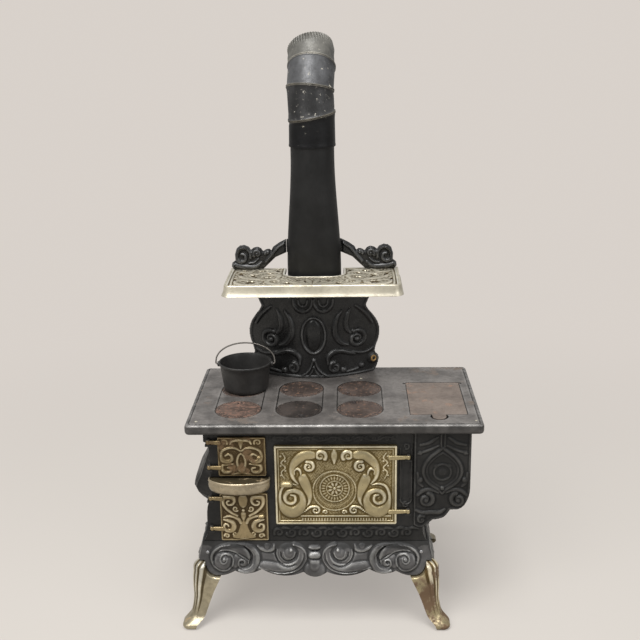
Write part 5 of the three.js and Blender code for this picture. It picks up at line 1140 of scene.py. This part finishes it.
holes = [(100, 29, 9, 7.5, 10), (41, 21, 8, 5.5, 60), (74, 58, 15, 3.4, -14), (127, 46, 10, 2.6, 84),
         (24, 40, 9, 2.2, 62), (62, 30, 6, 3.2, 20), (98, 68, 9, 3.6, 55), (120, 80, 9, 3.6, 75),
         (70, 82, 8, 3.2, 40), (86, 100, 9, 3.2, -12), (116, 104, 7, 3.2, 30), (60, 104, 7, 3, 80),
         (80, 22, 5, 2.6, -30), (12, 30, 8, 1.8, 80)]
shelf_leaves = both_sides([
    *[stroke([(6 * math.cos(a), 6 + 6 * math.sin(a), 1.6), (26 * math.cos(a), 6 + 24 * math.sin(a), 3.8),
              ((46 + k) * math.cos(a), 6 + 44 * math.sin(a), 1.2)], 1.8, 24)
      for k, a in enumerate(np.radians((12, 34, 56, 78)))],
    stroke([(10, 9, 2), (30, 8, 3), (52, 11, 3.4), (68, 20, 3.6), (74, 33, 3.4), (67, 43, 3), (57, 42, 2.6),
            (55, 35, 2)], 2.0, 60),
    stroke([(62, 12, 2), (84, 10, 3), (108, 12, 3.2), (122, 22, 3.2), (124, 34, 2.6), (114, 41, 2.2),
            (106, 42, 1.8)], 1.9, 50),
    stroke([(78, 40, 2), (90, 46, 3.6), (106, 52, 4), (118, 62, 3), (122, 70, 1.5)], 2.0),
    stroke([(60, 52, 2), (56, 64, 3.6), (62, 74, 4), (74, 73, 3), (84, 66, 1.8)], 2.0),
    stroke([(58, 88, 2), (70, 94, 3.4), (84, 90, 3.8), (96, 82, 3), (108, 84, 1.6)], 2.0),
    stroke([(96, 112, 2), (104, 100, 3.4), (108, 92, 3.4), (120, 94, 2.6), (130, 102, 1.4)], 2.0),
    stroke([(66, 112, 1.6), (74, 106, 3), (84, 110, 3), (94, 106, 1.6)], 1.8),
    volute(90, 28, 6, 180, 1.3, 2, 1.6), volute(48, 62, 6, 0, 1.3, 2, 1.6),
    volute(104, 72, 5, 90, 1.2, 1.8, 1.5),
    stroke([(130, 12, 1.6), (132, 40, 2), (133, 70, 2), (131, 100, 1.6)], 1.4),
])
u, v = pattern(shelf_x - 141, shelf_x + 141, shelf_front, shelf_back, 1.0)
across, deep = u - shelf_x, v - shelf_front
notch = rounded_rectangle(u, v, flue_x - 48, flue_x + 48, 203.5, 300, 20)
inside = rounded_rectangle(u, v, shelf_x - 138.5, shelf_x + 138.5, shelf_front + 2.5, 262, 8)
border = np.minimum.reduce([inside, shelf_back - v, -notch])
inside = border
for hole in holes:
    inside = np.minimum(inside, -oval_hole(np.abs(across), deep, *hole))
relief = raised(across, deep, bolder(shelf_leaves, wide=1.55))
relief = np.maximum(relief, ground_worms(across, deep, 8.0, 0.8)) * np.clip((border - 4) / 2, 0, 1)
relief = np.maximum(relief, 1.8 * np.clip(1 - ((border - 2.2) / 2.4) ** 4, 0, None))
front = -2.0 + relief - edge_drop(inside, 0.9)
# The shelf's underside is darkened as painted shade.
shelf_parts = [cast_sheet(u, v, inside, level(shelf_top), front, 0 * u - 5.5, relief, 0.1, 1.6)]

# %% Shelf apron
apron = np.array([(-4, 520), (-3, 520.4), (-1.6, 520.4), (-0.4, 519.8), (0, 518.6), (0.3, 515), (1.4, 509),
                  (2.9, 505), (4.3, 503.2), (4.5, 502.4), (3.8, 502), (-0.6, 502), (-1.4, 502.6),
                  (-2.4, 506), (-3.6, 512), (-4.4, 516)])
path = [(shelf_half, shelf_back, 1.0, 0.0)]
for cx, start, end in ((shelf_half - 12, 0, -90), (-shelf_half + 12, -90, -180)):
    for a in np.radians(np.linspace(start, end, 16)):
        c, s = math.cos(a), math.sin(a)
        path.append((cx + 12 * c, shelf_front + 12 + 12 * s, c, s))
path.append((-shelf_half, shelf_back, -1.0, 0.0))
x, y, out_x, out_y = np.array(path).T[:, :, None]
sections = np.stack([shelf_x + x + out_x * apron[:, 0], y + out_y * apron[:, 0], apron[:, 1] + 0 * x], -1)
shelf_parts.append(bar_skin(sections))
make_piece("warming_shelf_casting", shelf_parts, shelf_nickel, "root", ["warming_shelf"],
           sharp=45)

# %% [markdown]
# ## Pipe yoke
# Two scroll brackets stand on the shelf and are joined by a strap behind the pipe. Each bracket is
# thick in the middle and thin at its outline, like a cushion: the thickness grows with the
# distance from the edge, and scrolls are raised on its front.
# %% Yoke
yoke_shares = np.array([(0.43, 0), (0.96, 0), (1, 0.1), (0.99, 0.22), (0.93, 0.3), (0.935, 0.5), (0.9, 0.7),
                        (0.84, 0.79), (0.76, 0.81), (0.68, 0.75), (0.64, 0.65), (0.59, 0.72), (0.52, 0.75),
                        (0.46, 0.7), (0.42, 0.6), (0.37, 0.66), (0.31, 0.68), (0.27, 0.62), (0.24, 0.74),
                        (0.13, 0.88), (0, 1), (0, 0.56), (0.2, 0.4)])
yoke_scrolls = [
    stroke([(60, 20, 3), (60.5, 31, 4.6), (67, 38.5, 5.6), (77, 38, 5.8), (84, 29, 5.6), (83.5, 19, 5),
            (76, 13.5, 4), (69, 17.5, 3.4), (69.5, 25, 3), (75, 27, 2.4)], 3.8, 110),
    volute(49, 27.5, 6.2, 330, 1.3, 4, 3.2), bead(49, 27.5, 2.6, 3.4),
    volute(32, 29, 3.6, 330, 1.1, 2.8, 2.8), bead(32, 29, 2, 3.2),
    stroke([(42, 13, 2.2), (52, 5.6, 4), (66, 4.4, 4.8), (80, 6.6, 4.4), (90, 11, 3)], 3.4, 60),
    stroke([(47, 19, 1.4), (54, 13, 2.2), (63, 11.4, 1.8)], 2.4, 30), bead(89.4, 9, 4.6, 3.4),
    stroke([(4, 44, 2.4), (14, 37.5, 3), (24, 26, 3.2), (34, 14, 3)], 1.8, 60),
]


def on_bracket(side):
    """Places the yoke's pattern on one side of the pipe: its height comes forward."""
    return lambda u, v, h: np.stack([shelf_x + side * (46 + u), 251.4 - h, 520.3 + v], -1)


yoke_parts = []
for side in (1, -1):
    u, v = pattern(0, 93.5, 0, 52, 0.9)
    inside = outline_distance(u, v, yoke_shares * (92.5, 51.6))
    relief = raised(u, v, yoke_scrolls)
    swell = 4.3 * np.sqrt(np.clip(1 - np.clip(1 - inside / 5.0, 0, 1) ** 2, 0, None)) + 0.25
    front = swell * 0.8 + relief * np.clip(inside / 3, 0, 1)
    yoke_parts.append(cast_sheet(u, v, inside, on_bracket(side), front, -swell, relief))
angle = np.radians(np.linspace(-24, 204, 60))
strap = np.array([(0, 549.8), (0.6, 549.4), (3.4, 549.4), (4, 549.8), (4.3, 560), (4, 571.4), (3.4, 571.8),
                  (0.6, 571.8), (0, 571.4)])
c, s = np.cos(angle)[:, None], np.sin(angle)[:, None]
ring = np.stack([flue_x + (46.1 + strap[:, 0]) * c, flue_y + (33 + strap[:, 0]) * s,
                 strap[:, 1] + 0 * c], -1)
yoke_parts.append(bar_skin(ring[ring[:, 0, 1] > 248]))
make_piece("pipe_yoke_casting", yoke_parts, plate_black, "root", ["pipe_yoke"])

# %% [markdown]
# ## Stovepipe and elbow
# The pipe is sheet metal: round at the top and pressed oval at the foot. The elbow is four short
# pipes whose ends are cut at a slant, so each gore can be turned to aim the outlet. A gore is
# ruled between two true circles that lie in its two tilted seams, with a rolled bead at each.
# %% Pipe
pipe_foot, narrowing_from, round_from = 342, 527, 714
foot_width, foot_depth, round_radius = 44.6, 21.5, 35.3


def pipe_halves(z):
    """Half width and half depth of the oval: smooth steps from the foot to the round top."""
    t = np.clip((z - narrowing_from) / (round_from - narrowing_from), 0, 1)
    d = np.clip((z - pipe_foot) / (round_from - pipe_foot), 0, 1)
    return (foot_width + (round_radius - foot_width) * t * t * (3 - 2 * t),
            foot_depth + (round_radius - foot_depth) * d * d * (3 - 2 * d))


heights = np.concatenate([[342.3], np.linspace(343, 743, 60), [744]])
angle = np.linspace(0, 2 * np.pi, 128, endpoint=False)[:, None]
half_w, half_d = pipe_halves(heights)
seam = 0.9 * np.exp(-((angle - 1.9) / 0.05) ** 2)
walls = [np.stack([flue_x + (half_w + out) * np.cos(angle), flue_y + (half_d + out) * np.sin(angle),
                   heights + 0 * angle], -1) for out in (seam, -1.2)]
pipe_skin = loop_skin(np.concatenate([walls[0], walls[1][:, ::-1]], 1))
make_piece("stovepipe_sheet", [pipe_skin], pipe_black, "stovepipe", ["stovepipe"], sharp=50)


# %% Elbow
def lean(degrees, turn):
    """A direction that leans from upright by so many degrees, towards a turn in plan."""
    a, b = math.radians(degrees), math.radians(turn)
    return np.array([math.sin(a) * math.cos(b), math.sin(a) * math.sin(b), math.cos(a)])


axes = [lean(11, 195), lean(15.4, 70), lean(37.4, 87), lean(41.8, 105)]
centres = [np.array([flue_x, flue_y, 774.5])]
for first, second, length in zip(axes, axes[1:], (42, 36.6, 38.4)):
    along = (first + second) / np.linalg.norm(first + second)
    centres.append(centres[-1] + length * along)
seams = [(np.array([flue_x, flue_y, 727.0]), np.array([0.0, 0.0, 1.0]))] + list(zip(centres, axes))


def gore_skin(low, high, profile, lap):
    """A profile of (blend from the low to the high seam, along, radius, crimp) turned round both
    seams. The sheet's lap is a step that rises at one angle and fades away after it."""
    angle = np.linspace(0, 2 * np.pi, 432, endpoint=False)
    rings = []
    for centre, axis in (low, high):
        across = np.array([1.0, 0, 0]) - axis[0] * axis
        across /= np.linalg.norm(across)
        beside = np.cross(axis, across)
        rings.append((centre, axis, np.cos(angle)[:, None] * across + np.sin(angle)[:, None] * beside))
    (low_centre, low_axis, low_ring), (high_centre, high_axis, high_ring) = rings
    lap_rise = 0.7 / (1 + np.exp(-(angle - lap) / 0.012)) * np.exp(-np.clip(angle - lap, 0, None) / 0.16)
    points = []
    for share, along, radius, crimp in profile:
        lapped = radius > 36.8 and share not in (0, 1)
        size = radius + (lap_rise if lapped else 0) - crimp * np.abs(np.sin(angle * 27))
        low_point = low_centre + (along if share < 0.5 else 0) * low_axis + size[:, None] * low_ring
        high_point = high_centre + (along if share >= 0.5 else 0) * high_axis + size[:, None] * high_ring
        points.append(low_point * (1 - share) + high_point * share)
    radii, crimps = np.array(profile)[:, 2:].T
    # Rows on a bead take the crest colour, the tan rust of bead edges; the rows beside each bead are darker
    # as painted shade, and the crimped mouth is darker as painted shade of its folds.
    deep = np.where(radii > 38.55, -0.75, np.where(np.abs(radii - 38.15) < 0.06, 0.5, 0.0)) + 0.12 * crimps
    return loop_skin(np.stack(points, 1), np.broadcast_to(deep, (len(angle), len(deep))))


def gore_profile(low_bead, neck):
    """Outside from the low seam up, the rolled beads and the neck or the crimped mouth, and back
    down the inside."""
    if low_bead:
        rows = [(0, 0.15, 38.2), (0, 0.4, 38.7), (0, 1.3, 38.9), (0, 2.2, 38.5), (0, 2.8, 37.7),
                (0, 3.6, 37.4)]
    else:
        rows = [(0, 0, 37.4), (0, 2.2, 37.9), (0, 4, 37.4)]
    rows += [(share, 0, 37.4) for share in ((0.2, 0.35, 0.5, 0.65, 0.8) if neck else (0.2, 0.35, 0.47))]
    if neck:
        rows += [(1, -3.6, 37.4), (1, -2.8, 37.7), (1, -2.2, 38.4), (1, -1.2, 38.8), (1, -0.4, 38.6),
                 (1, -0.15, 38.1), (1, -0.15, 35.5), (1, 2.4, 35.5), (1, 2.4, 34.5), (1, -3.7, 34.5),
                 (1, -6.1, 36.4)]
    else:
        rows += [(1, -14, 37.4), (1, -12, 37.5, 0.5), (1, -8, 37.4, 1.0), (1, -3, 37.3, 1.2),
                 (1, 0, 37.2, 1.3), (1, 0, 36.2, 1.3), (1, -13, 36.4)]
    rows += [(0.5, 0, 36.4)] + ([(0, 4.5, 36.4), (0, 0.15, 36.6)] if low_bead else [(0, 0, 36.4)])
    return [(*row, 0)[:4] for row in rows]


gores = [("elbow_cuff", cuff_black, 1.9), ("elbow_lower_gore", elbow_black, 4.55),
         ("elbow_upper_gore", elbow_grey, 4.72), ("elbow_outlet", outlet_tin, 4.76)]
for k, (name, look, lap) in enumerate(gores):
    skin = gore_skin(seams[k], seams[k + 1], gore_profile(k > 0, k < 3), lap)
    make_piece(name + "_sheet", [skin], look, name, [name], sharp=40)

# %% [markdown]
# ## Kettle
# A small cast pot turned on its axis, with two ears, and a wire bail that hooks into them. One
# turned profile gives the wall, rim and foot at once, and the bail is a rod along a smooth line.
# %% Pot and bail
pot_x, pot_y, pot_z = -145.8, 156.6, 342.3
bowl = [(0, 1.2), (29, 1.2), (30.4, 0.2), (32.2, 0), (33.8, 0.6), (35.2, 2.6), (36.4, 8), (38.1, 20),
        (40.4, 36), (41.3, 42.6), (42.1, 43.6), (42.9, 44.6), (43.1, 46), (43, 47.4), (42.3, 48),
        (41, 47.8), (40.4, 46.6), (39.6, 43), (38.2, 36), (35.6, 18), (33.2, 7), (30.5, 4.6), (26, 3.8),
        (0, 3.6)]
pot = [turned_skin(bowl, (pot_x, pot_y, pot_z), sides=128)]
bail_z = pot_z + 43
ear = [(1.6, -1.2), (1.6, 1.6), (2.4, 2.1), (3.6, 1.9), (4.3, 1.0), (4.4, 0), (4.4, -1.6), (3.4, -2.4),
       (2.4, -2.2)]
for side in (1, -1):
    pot.append(turned_skin(ear, (pot_x + side * 43.6, pot_y, bail_z), (side, 0, 0), 30, closed=True))
make_piece("kettle_pot", pot, pan_iron, "kettle", ["kettle"], sharp=50)


def bail_point(out, height):
    """The bail leans back by 18 degrees from its pins."""
    lean_back = math.radians(18)
    return pot_x + out, pot_y + height * math.sin(lean_back), bail_z + height * math.cos(lean_back)


arch = [(48 * math.cos(a), 5 + 29 * math.sin(a)) for a in np.radians(np.linspace(180, 0, 15))]
left_hook = [(-43.6, 0), (-46.5, 0), (-48, 1.8)]
right_hook = [(48, 1.8), (46.5, 0), (43.6, 0)]
bail = rod_skin([bail_point(*place) for place in left_hook + arch + right_hook], 1.2, count=150)
make_piece("kettle_bail_wire", [bail], wire, "kettle_bail", ["kettle_bail"])

# %% [markdown]
# ## Hearth shelf
# A bowed ledge between the two left doors. It is a stack of outlines: each one follows the bow, a
# little further in as the ledge rounds over at the top and tucks under at the bottom.
# %% Bowed ledge
def bow_outline(inset):
    """Straight ends joined by a cubic curve, the sum of four control points weighted by
    (1-t)^3, 3(1-t)^2 t, 3(1-t) t^2 and t^3, all drawn in by the inset."""
    left, right, back = -194.0 + inset, -98.6 - inset, door_back
    t = np.linspace(0, 1, 60)[:, None]
    bow = back - 35 + 1.2 * inset
    a, b, c, d = np.array([(left, back - 7), (left + 14, bow), (right - 14, bow), (right, back - 7)])
    curve = (1 - t) ** 3 * a + 3 * (1 - t) ** 2 * t * b + 3 * (1 - t) * t ** 2 * c + t ** 3 * d
    return np.vstack([[(left, back)], curve, [(right, back)]])


levels = [(4, 248.4), (3.2, 248.6), (2.6, 249.4), (1.6, 249.8), (0.6, 249.3), (0, 248.2), (0, 246.4),
          (0.9, 245.4), (1.2, 244.4), (0.7, 243.6), (0.4, 240.5), (0.8, 237), (1.7, 234), (3.2, 231.4),
          (5, 230), (7, 229.4)]
stack = np.stack([np.column_stack([bow_outline(inset), np.full(62, z)]) for inset, z in levels])
# The top rows of the ledge are darker.
darker_at_top = np.zeros(stack.shape[:2])
darker_at_top[:3] = [[1.0], [0.8], [0.3]]
make_piece("hearth_shelf_casting", [bar_skin(stack, darker_at_top)], hearth_nickel, "root", ["hearth_shelf"],
           sharp=50)

# %% [markdown]
# ## Reservoir front and the body's cast panels
# The reservoir front ends in scallops and carries a pointed arch over two scrolls. The body has a
# sunk pilaster, a vine under the cooktop and scrolls along its foot, all low and half worn away.
# %% Reservoir front
tank_outline = smooth_line([(-44, -60), (-36, -64), (-28, -63), (-22, -58), (-17, -54), (-14, -51)],
                           16).tolist()
tank_outline += smooth_line([(-14, -51), (-5, -49.5), (4, -46), (11, -37)], 14).tolist()
tank_outline += smooth_line([(11, -37), (14, -33.5), (24, -33.5), (34, -27), (41, -12), (43, 2)],
                            20).tolist()
tank_outline += [(43, 107.7), (-44, 107.7)]
tank_strokes = both_sides([
    stroke([(2.6, 96, 1.1), (2.6, 70, 1.1)], 1.2),
    stroke([(0, 70, 1.8), (10, 62, 2.1), (20, 53, 2.1), (27, 42, 2.2), (29, 30, 2.2), (25, 18, 2.2),
            (16, 8, 2.2), (6, 1, 2), (0, -6, 1.4)], 1.8, 80),
    stroke([(0, 62, 1), (12, 54, 1.2), (22, 42, 1.3), (24, 30, 1.3), (20, 18, 1.3), (10, 9, 1.2),
            (0, 3, 1)], 1.0, 70),
    stroke([(8, 88, 1.2), (20, 79, 1.8), (34, 75, 1.5)], 1.3),
    stroke([(6, 74, 1), (20, 67, 1.6), (37, 61, 1.4)], 1.3),
    bead(34, 17, 3.4, 2.2), bead(34, 62, 2.6, 1.4), volute(24.5, -16, 11.5, 110, 1.3, 3.4, 3),
    bead(24.5, -17, 3.6, 3.4),
    stroke([(6, -4, 1.4), (16, 0, 2.3), (28, -1, 2.5), (37, -8, 2.2)], 1.8),
    stroke([(30, 6, 1.4), (36, 14, 2.2), (38, 28, 1.6)], 1.4),
    bead(10, 40, 2.4, 0.9), circle(0, 30, 13, 1.2, 1.0), bead(0, 30, 4.4, 1.3),
]) + [bead(0, 3, 2.8, 2.4), volute(-31, -50, 6.5, 60, 1.2, 2.4, 2.2), bead(-31, -50, 2, 2.2),
      stroke([(-40, -34, 1.6), (-30, -38.5, 2.4), (-16, -38, 2.6), (-4, -38, 2.4), (4, -33, 1.6)], 2.0)]
u, v = pattern(-44, 43, -64, 107.7, 1.0)
inside = outline_distance(u, v, tank_outline)
relief = raised(u, v, bolder(tank_strokes, 1.5, 1.25)) * np.clip(inside / 3, 0, 1)
relief = np.maximum(relief, half_round((inside - 2.2) / 1.6) * (v < 96))
front = 2.6 + relief - edge_drop(inside, 1)


def on_reservoir(u, v, h):
    """Places the reservoir's pattern from its middle: its height comes forward."""
    return np.stack([165 + u, 17.7 - h, 228 + v], -1)


make_piece("reservoir_front_casting", [cast_sheet(u, v, inside, on_reservoir, front, 0 * u, relief)],
           body_iron, "root", ["reservoir_front"])


# %% Cast panels on the body
def wall_panel(name, left, right, bottom, top, strokes, base):
    """A low sheet on the body's front, raised by its strokes."""
    u, v = pattern(left, right, bottom, top, 1.0)
    inside = rounded_rectangle(u, v, left, right, bottom, top, 1.0)
    relief = raised(u, v, strokes)
    front = (base + relief) * np.clip(inside / 1.2, 0.2, 1)
    panel = cast_sheet(u, v, inside, upright(18.1), front, 0 * u, relief)
    make_piece(name, [panel], body_iron)


waves = [(x, 316 if k % 2 == 0 else 309, 1.6) for k, x in enumerate(range(-80, 100, 20))]
vine = [stroke([(-97, 311, 1)] + waves + [(95, 311, 1)], 0.8, 200)]
vine += [volute(x, 313, 3.4, 90 + 180 * (k % 2), 1.2, 1.3, 0.8)
         for k, x in enumerate(np.arange(-90, 96, 10))]
wall_panel("top_rail_vine", -100, 97, 305.5, 322, vine, 0.4)
foot = [volute(x, 154, 7.4, 200, 1.3, 3.4, 1.8, hand=1 if k % 2 else -1)
        for k, x in enumerate(np.arange(-88, 130, 20))]
foot += [stroke([(x - 9, 160, 1.4), (x, 162.4, 3), (x + 9, 160, 1.4)], 1.6)
         for x in np.arange(-78, 130, 20)]
wall_panel("foot_rail_scrolls", -98, 131, 143, 166, foot, 0.3)
pillar = [circle(109.5, 212, 9, 1.2, 1.4, 180, 360), volute(109.5, 202, 5, 90, 1.3, 1.8, 1.2),
          volute(109.5, 300, 5, 270, 1.3, 1.8, 1.2)]
for x in (100.5, 118.5):
    pillar.append(stroke([(x, 296, 1.2), (x, 214, 1.2)], 1.4, 90))
for x in (103, 116):
    pillar.append(stroke([(x, 262, 1), (x, 214, 1)], 0.6, 50))
wall_panel("pilaster", 98.5, 120.4, 196, 306, pillar, 0.5)
print("pieces so far:", len(shown), "faces:", sum(n for _, n in shown))

# %% [markdown]
# ## Screws and bolts
# Small round heads hold the skirt, the reservoir and the hinges. Each is a low dome turned about
# the screw's axis: its soft top catches the light, which a flat cylinder would not do.
# %% Fasteners
heads = [screw_head(x, y, z, radius, (0, -1, 0), rise) for x, y, z, radius, rise in (
    (-200, 7, 125, 2.6, 1.2), (134, 7, 126, 2.6, 1.2), (-182, 16.4, 236, 2, 1))]
heads += [screw_head(208.2, y, 262, 3, (1, 0, 0), 1.5) for y in (60, 200)]
make_piece("round_head_screws", heads, tank_sheet)

# %% [markdown]
# ## Light, floor and camera
# The photograph was lit evenly in front of a pale wall. A pale world does most of the work, a
# large soft lamp above the left front models the castings, and the camera stands where the
# photographer stood, found from the cooktop, the lids and the legs.
# %% Camera
def camera_axes(yaw, pitch, roll):
    """Right, up and forward directions of a camera after yaw, pitch and roll."""
    ahead = np.array([math.sin(yaw), math.cos(yaw), 0.0])
    right = np.array([math.cos(yaw), -math.sin(yaw), 0.0])
    up = np.array([0.0, 0.0, 1.0])
    forward = math.cos(pitch) * ahead - math.sin(pitch) * up
    over = math.sin(pitch) * ahead + math.cos(pitch) * up
    tilted_right = math.cos(roll) * right + math.sin(roll) * over
    return tilted_right, -math.sin(roll) * right + math.cos(roll) * over, forward


right, over, forward = camera_axes(math.radians(-1.813), math.radians(16.928), math.radians(-0.943))
eye = (np.array([25.7, -1368.5, 923.2]) + shift) / 1000
focal_pixels, photo_width = 991.71, 640
lens = bpy.data.cameras.new("camera")
lens.sensor_width = 36.0
lens.lens = focal_pixels * lens.sensor_width / photo_width
camera = bpy.data.objects.new("camera", lens)
turned = np.column_stack([right, over, -forward, eye])
camera.matrix_world = Matrix(np.vstack([turned, (0, 0, 0, 1)]).tolist())
bpy.context.scene.collection.objects.link(camera)
bpy.context.scene.camera = camera


# %% Lamps, world and floor
def soft_lamp(name, place, target, size, power, colour=(1, 1, 1)):
    """A square area lamp that faces its target."""
    data = bpy.data.lights.new(name, "AREA")
    data.shape = "SQUARE"
    data.size = size
    data.energy = power
    data.color = colour
    lamp = bpy.data.objects.new(name, data)
    lamp.location = place
    lamp.rotation_euler = (Vector(target) - Vector(place)).to_track_quat("-Z", "Y").to_euler()
    bpy.context.scene.collection.objects.link(lamp)


def mix_shaders(tree, factor, first, second, output):
    """The first shader where the factor is 0 and the second where it is 1."""
    mix = put(tree, "ShaderNodeMixShader")
    for socket, source in enumerate((factor, first.outputs[0], second.outputs[0])):
        join(tree, source, mix, socket)
    join(tree, mix.outputs[0], output, "Surface")


soft_lamp("window", (-1.5, -2.0, 2.5), (0, 0, 0.4), 1.8, 66, (1.0, 0.99, 0.97))
soft_lamp("fill", (2.2, -1.7, 1.7), (0, 0, 0.4), 1.8, 24)
soft_lamp("ceiling", (-0.1, -0.9, 3.0), (0, 0, 0.3), 1.3, 82)
world = bpy.data.worlds.new("pale room")
bpy.context.scene.world = world
world.use_nodes = True
tree = world.node_tree
tree.nodes.clear()
wall_colour = (0.69, 0.64, 0.595, 1)
room = put(tree, "ShaderNodeBackground", Color=(0.78, 0.77, 0.75, 1), Strength=0.6)
wall = put(tree, "ShaderNodeBackground", Color=wall_colour, Strength=1.0)
rays = put(tree, "ShaderNodeLightPath")
mix_shaders(tree, rays.outputs["Is Camera Ray"], room, wall, put(tree, "ShaderNodeOutputWorld"))

# %% Floor
floor_mesh = bpy.data.meshes.new("floor")
floor_mesh.from_pydata([(-6, -6, 0), (6, -6, 0), (6, 6, 0), (-6, 6, 0)], [], [(0, 1, 2, 3)])
floor = bpy.data.objects.new("floor", floor_mesh)
bpy.context.scene.collection.objects.link(floor)
pale = bpy.data.materials.new("Pale floor")
pale.use_nodes = True
tree = pale.node_tree
shader = tree.nodes["Principled BSDF"]
shader.inputs["Base Color"].default_value = (0.48, 0.455, 0.42, 1)
shader.inputs["Roughness"].default_value = 0.7
place = put(tree, "ShaderNodeTexCoord").outputs["Object"]
far = put(tree, "ShaderNodeVectorMath", operation="LENGTH")
join(tree, place, far, 0)
fade = ramp(tree, far.outputs["Value"], 0.3, 1.6, 0.5, 1.0)
rays = put(tree, "ShaderNodeLightPath")
seen = figure(tree, "MULTIPLY", fade, rays.outputs["Is Camera Ray"])
glow = put(tree, "ShaderNodeEmission", Color=wall_colour, Strength=1.0)
mix_shaders(tree, seen, shader, glow, tree.nodes["Material Output"])
floor_mesh.materials.append(pale)
bpy.context.scene.view_settings.view_transform = "Standard"
